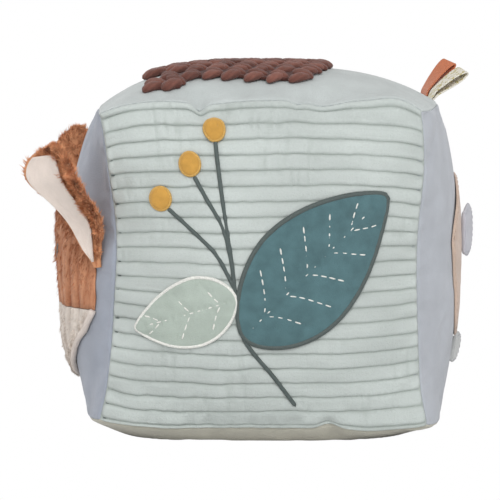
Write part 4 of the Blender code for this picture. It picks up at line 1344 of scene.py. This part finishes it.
# Knitted patch on the top panel.
KNIT_ROWS = 9
KNIT_PITCH = 8.2 * MM
KNIT_STITCH = 8.4 * MM
KNIT_FRONT = -0.88 * HALF_Y
KNIT_LEFT = 57 * MM
KNIT_RIGHT = 35.5 * MM
KNIT_INSET = 3 * MM
KNIT_PRONG_PLACE = -36 * MM
KNIT_NOTCH = 19 * MM
KNIT_TAPER_BACK = 12 * MM
KNIT_TAPER_FRONT = 13 * MM
KNIT_BACKING = 1.3 * MM
YARN_LIFT = 1.6 * MM
LOBE_BEND = 0.9 * MM
# Half length, width and height of a lobe of yarn.
LOBE = (5.4 * MM, 2.3 * MM, 1.9 * MM)
LOBE_STEPS = 17
LOBE_AROUND = 20
LOBE_PLIES = 5


def knit_ends(back_share, inset):
    """Left and right ends of the knit at a share of its depth."""
    v = 2 * back_share - 1
    notch = KNIT_NOTCH * bell(back_share, 0.13, 0.3)
    taper = KNIT_TAPER_BACK * np.maximum(v, 0) ** 4
    left = 2.5 * MM - KNIT_LEFT + taper + notch
    right = KNIT_RIGHT - 4.5 * MM - taper - KNIT_TAPER_FRONT * np.maximum(-v, 0) ** 1.5
    return left + inset, right - inset


def knit_shift(x):
    """How far the knit's rows sway towards the back at a place across it."""
    return 1.5 * MM - 5 * MM * soft_step(x, -22 * MM, 8 * MM)


def make_backing():
    share, v = np.meshgrid(np.linspace(-1, 1, 60), np.linspace(0, 1, 60))
    left, right = knit_ends(v, KNIT_INSET + 1.5 * MM)
    x = left + (share + 1) / 2 * (right - left)
    narrow = 1.25 * np.clip((x - KNIT_PRONG_PLACE) / (5 * MM), 0, 1) * (1 - np.minimum(v * KNIT_ROWS / 2, 1))
    y = KNIT_FRONT + v * KNIT_ROWS * KNIT_PITCH + KNIT_PITCH * narrow + knit_shift(x) * (1 - v)
    outer, inner = (on_panel("top", x, y, lift)[0] for lift in (GAP + KNIT_BACKING, GAP))
    # The backing takes almost the full shade colour: painted shade between the lobes.
    return add_shell("knit_backing", outer, inner, "brown_knit", "knit_patch", tone=np.full(x.shape, 0.15))


def knit_places():
    """Centres, slants and sizes of the lobes of yarn."""
    places = []
    for row in range(KNIT_ROWS):
        back_share = (row + 0.5) / KNIT_ROWS
        left, right = knit_ends(np.array(back_share), KNIT_INSET)
        count = int((right - left) // KNIT_STITCH)
        for stitch, side in ((stitch, side) for stitch in range(count) for side in (-1, 1)):
            jitter = chance.normal(size=2) * 0.22 * MM
            x = left + (stitch + 0.5) * ((right - left) / count) + jitter[0] + side * 0.7 * MM
            y = KNIT_FRONT + (row + 0.5) * KNIT_PITCH + side * 2.05 * MM + jitter[1]
            if row > 0 or x <= KNIT_PRONG_PLACE + 3 * MM:
                slant = -side * math.radians(33 + 5 * chance.normal())
                size = (1.0 if row else 1.12) * (1 + 0.06 * chance.normal())
                places.append((x, y + knit_shift(x) * (1 - back_share), slant, size))
    return np.array(places)[:, :, None, None]


def make_knit():
    """Rows of chain stitches, each of two slanted lobes of thick yarn, on a thin backing."""
    backing = make_backing()
    places = knit_places()
    centre_x, centre_y, slants, sizes = (places[:, i] for i in range(4))
    length, wide, high = LOBE
    t = np.linspace(-1, 1, LOBE_STEPS)[:, None]
    turn = turns(LOBE_AROUND)[None]
    plies = np.cos(LOBE_PLIES * turn + t * LOBE_PLIES)
    girth = rounded(t, 2.6) * (1 - 0.12 * t)
    twist = 1 + 0.075 * plies
    local_x = (t * length + 0 * turn) * sizes
    local_y = (girth * wide * twist * np.cos(turn)) * sizes
    local_z = (girth * high * twist * np.sin(turn)) * sizes - LOBE_BEND * t**2
    x = centre_x + local_x * np.cos(slants) - local_y * np.sin(slants)
    y = centre_y + local_x * np.sin(slants) + local_y * np.cos(slants)
    points = on_panel("top", x, y, GAP + YARN_LIFT + local_z)[0]
    # Shades vary at random from lobe to lobe; each lobe goes darker towards its lower side and in the grooves
    # between its plies, as painted shade.
    shades = 0.62 + 0.2 * chance.normal(size=(len(places), 1, 1))
    tone = (0.25 + 0.75 * np.clip(0.5 + 0.5 * local_z / high, 0, 1)) * shades + 0.16 + 0.14 * plies
    quads = grid_faces(LOBE_STEPS, LOBE_AROUND, loop=True)
    faces = repeated(quads, len(places), LOBE_STEPS * LOBE_AROUND)
    piece = add_piece("knit_stitches", points, [faces], "brown_knit", tone=np.clip(tone, 0, 1))


make_knit()


# Ribbon loops.
RIBBON_WIDTH = 10 * MM
RIBBON_CLOTH = 0.7 * MM
RIBBON_TUCK = 1 * MM
RIBBON_EYE = 2.2 * MM
RIBBON_SHIFT = np.array((-1.7, 0, 0.5))
RIBBON_BEND = 7 * MM
SELVAGE = 0.12 * MM
# For each ribbon: its node, place along the seam, length, rise and twist in degrees, and look.
RIBBONS = {
    "ribbon_plain": ("ribbon_loop_plain", 0.62, 25 * MM, 50, 30, "terracotta_ribbon"),
    "ribbon_printed": ("ribbon_loop_printed", 0.44, 24 * MM, 36, 22, "printed_ribbon"),
}


def make_ribbon(body):
    node, place, length, rises, twists, look = RIBBONS[body]
    corner = [(1, place + step, 1) for step in (-SLOPE_STEP, 0, SLOPE_STEP)]
    before, here, after = block_points(np.array(corner))
    along_seam = unit(after - before)
    grows = np.array((math.cos(math.radians(rises)), 0, math.sin(math.radians(rises))))
    grows = unit(grows - along_seam * (grows @ along_seam))
    pivot = here + unit(np.array((1.0, 0, 1.0))) * (RIBBON_TUCK + GAP)
    sideways = unit(np.cross(grows, along_seam))
    leg = (RIBBON_CLOTH + GAP) / 2

    def surface(u, v):
        turn = math.pi * u
        reach = (length + RIBBON_TUCK) * (1 + np.cos(turn)) / 2 - RIBBON_TUCK
        spread = leg * np.sin(turn / 2) + RIBBON_EYE * np.sin(turn) * np.cos(turn / 2) ** 2
        side = v * RIBBON_WIDTH / 2
        twist = (math.radians(twists) * np.clip(reach / length, 0, 1))[..., None]
        across = along_seam * np.cos(twist) + sideways * np.sin(twist)
        aside = sideways * np.cos(twist) - along_seam * np.sin(twist)
        bent = soft_step(reach, 0, RIBBON_BEND)[..., None] * RIBBON_SHIFT * MM
        return pivot + bent + grows * reach[..., None] + aside * spread[..., None] + across * side[..., None]

    u, v = np.meshgrid(np.linspace(-1, 1, 121), np.linspace(-1, 1, 21), indexing="ij")
    step = SLOPE_STEP
    inside = np.clip(u, step - 1, 1 - step)
    breadth = surface(inside, v * 0 + 1) - surface(inside, v * 0 - 1)
    normal = unit(np.cross(surface(inside + step, v) - surface(inside - step, v), breadth))
    edge = np.sqrt(np.clip(hump(v, 10), 0.1, 1))
    selvage = SELVAGE * bell(np.abs(v), 0.06, 0.9)
    lift = normal * (RIBBON_CLOTH / 2 * edge + selvage)[..., None]
    outer, inner = (surface(u, v) + side * lift for side in (1, -1))
    piece = add_shell(body + "_loop", outer[:, ::-1], inner[:, ::-1], look, node, body=body)


make_ribbon("ribbon_plain")
make_ribbon("ribbon_printed")


# Filling and rattle.
RATTLE_RADIUS = 19 * MM
POCKET = RATTLE_RADIUS + 1.5 * MM
FILLING_ROOM = 1.1 * MM
FILLING_WAVE = 0.4 * MM
FILLING_WAVE_SIZE = 9 * MM


def make_filling():
    """Fibre filling: a soft block just inside the covers, hollow where the rattle lies."""
    cells = 33
    r, u = np.meshgrid(np.linspace(-1, 1, cells), np.linspace(-1, 1, cells))
    verts, faces = [], []
    for number, panel in enumerate(PANEL_AXES):
        points = panel_points(panel, r, u)
        depth = PANEL_CLOTH + FILLING_ROOM + FILLING_WAVE * noise(points, FILLING_WAVE_SIZE, 33)
        points = CENTRE + (points - CENTRE) * (1 - depth[..., None] / HALF_Z)
        verts.append(points.reshape(-1, 3))
        faces.append(grid_faces(cells, cells, number * cells * cells))
    turn, tilt = np.meshgrid(np.linspace(0, 2 * math.pi, 49), np.linspace(-math.pi / 2, math.pi / 2, 25))
    ball = np.stack((np.cos(tilt) * np.cos(turn), np.cos(tilt) * np.sin(turn), np.sin(tilt)), -1)
    verts.append((CENTRE + ball * POCKET).reshape(-1, 3))
    faces.append(grid_faces(25, 49, 6 * cells * cells, flip=True))
    nodes = ("filling_lower_half", "filling_upper_half")
    return add_piece("fibre_filling", np.concatenate(verts), [np.concatenate(faces)], "fibre_filling", *nodes)


make_filling()
for node, look in (
    ("rattle_shell_lower", "capsule_plastic"),
    ("rattle_shell_upper", "capsule_plastic"),
    ("rattle_ball", "ball_plastic"),
):
    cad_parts[node].data.materials.clear()
    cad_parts[node].data.materials.append(LOOKS[look])

# Camera at the photograph's view: 1 m away and 5 degrees above level. Lens and shifts are in picture points.
TARGET = Vector((0, 0, 0.08))
ELEVATION = math.radians(5)
PICTURE = 500
LENS = 2090
SENSOR = 36
camera_data = bpy.data.cameras.new("camera")
camera = link("camera", camera_data)
camera.location = TARGET + Vector((0, -math.cos(ELEVATION), math.sin(ELEVATION)))
camera.rotation_euler = (math.pi / 2 - ELEVATION, 0, 0)
camera_data.sensor_width = SENSOR
camera_data.lens = LENS / PICTURE * SENSOR
camera_data.shift_x = -12 / PICTURE
camera_data.shift_y = 2 / PICTURE
camera_data.clip_start = 0.01
camera_data.clip_end = 20
bpy.context.scene.camera = camera


# Floor and soft studio light.
def make_stage():
    """Floor that lights the block's underside and looks white itself."""
    ground = bpy.data.meshes.new("floor")
    ground.from_pydata([(-2, -2, 0), (2, -2, 0), (2, 2, 0), (-2, 2, 0)], [], [(0, 1, 2, 3)])
    floor = link("floor", ground)
    floor.location = (0, 0, -0.05 * MM)
    made = bpy.data.materials.new("pale_floor")
    made.use_nodes = True
    nodes, links = made.node_tree.nodes, made.node_tree.links
    nodes.clear()
    kinds = ("LightPath", "BsdfDiffuse", "Emission", "MixShader", "OutputMaterial")
    path, dull, bright, choose, output = (nodes.new("ShaderNode" + kind) for kind in kinds)
    dull.inputs["Color"].default_value = (0.8, 0.8, 0.8, 1)
    bright.inputs["Color"].default_value = (1, 1, 1, 1)
    links.new(path.outputs["Is Camera Ray"], choose.inputs[0])
    links.new(dull.outputs[0], choose.inputs[1])
    links.new(bright.outputs[0], choose.inputs[2])
    links.new(choose.outputs[0], output.inputs[0])
    ground.materials.append(made)


make_stage()
for name, place, size, energy in (
    ("key", (0.1, -1.45, 1.0), 1.1, 14),
    ("fill", (1.2, -1.1, 0.6), 1.2, 3),
    ("rim", (-0.8, 1.2, 0.6), 0.9, 4.5),
    ("low", (-1.3, -0.7, 0.1), 0.8, 2.2),
):
    lamp_data = bpy.data.lights.new(name, "AREA")
    lamp_data.shape = "DISK"
    lamp_data.size = size
    lamp_data.energy = energy
    lamp = link(name, lamp_data)
    lamp.location = place
    lamp.rotation_euler = (TARGET - Vector(place)).to_track_quat("-Z", "Y").to_euler()
world = bpy.data.worlds.new("studio")
world.use_nodes = True
sky = world.node_tree
background = sky.nodes["Background"]
path = sky.nodes.new("ShaderNodeLightPath")
strength = sky.nodes.new("ShaderNodeMix")
strength.inputs[2].default_value = 0.62
strength.inputs[3].default_value = 1.0
sky.links.new(path.outputs["Is Camera Ray"], strength.inputs[0])
sky.links.new(strength.outputs[0], background.inputs["Strength"])
background.inputs["Color"].default_value = (1, 1, 1, 1)
bpy.context.scene.world = world
bpy.context.scene.view_settings.view_transform = "Standard"
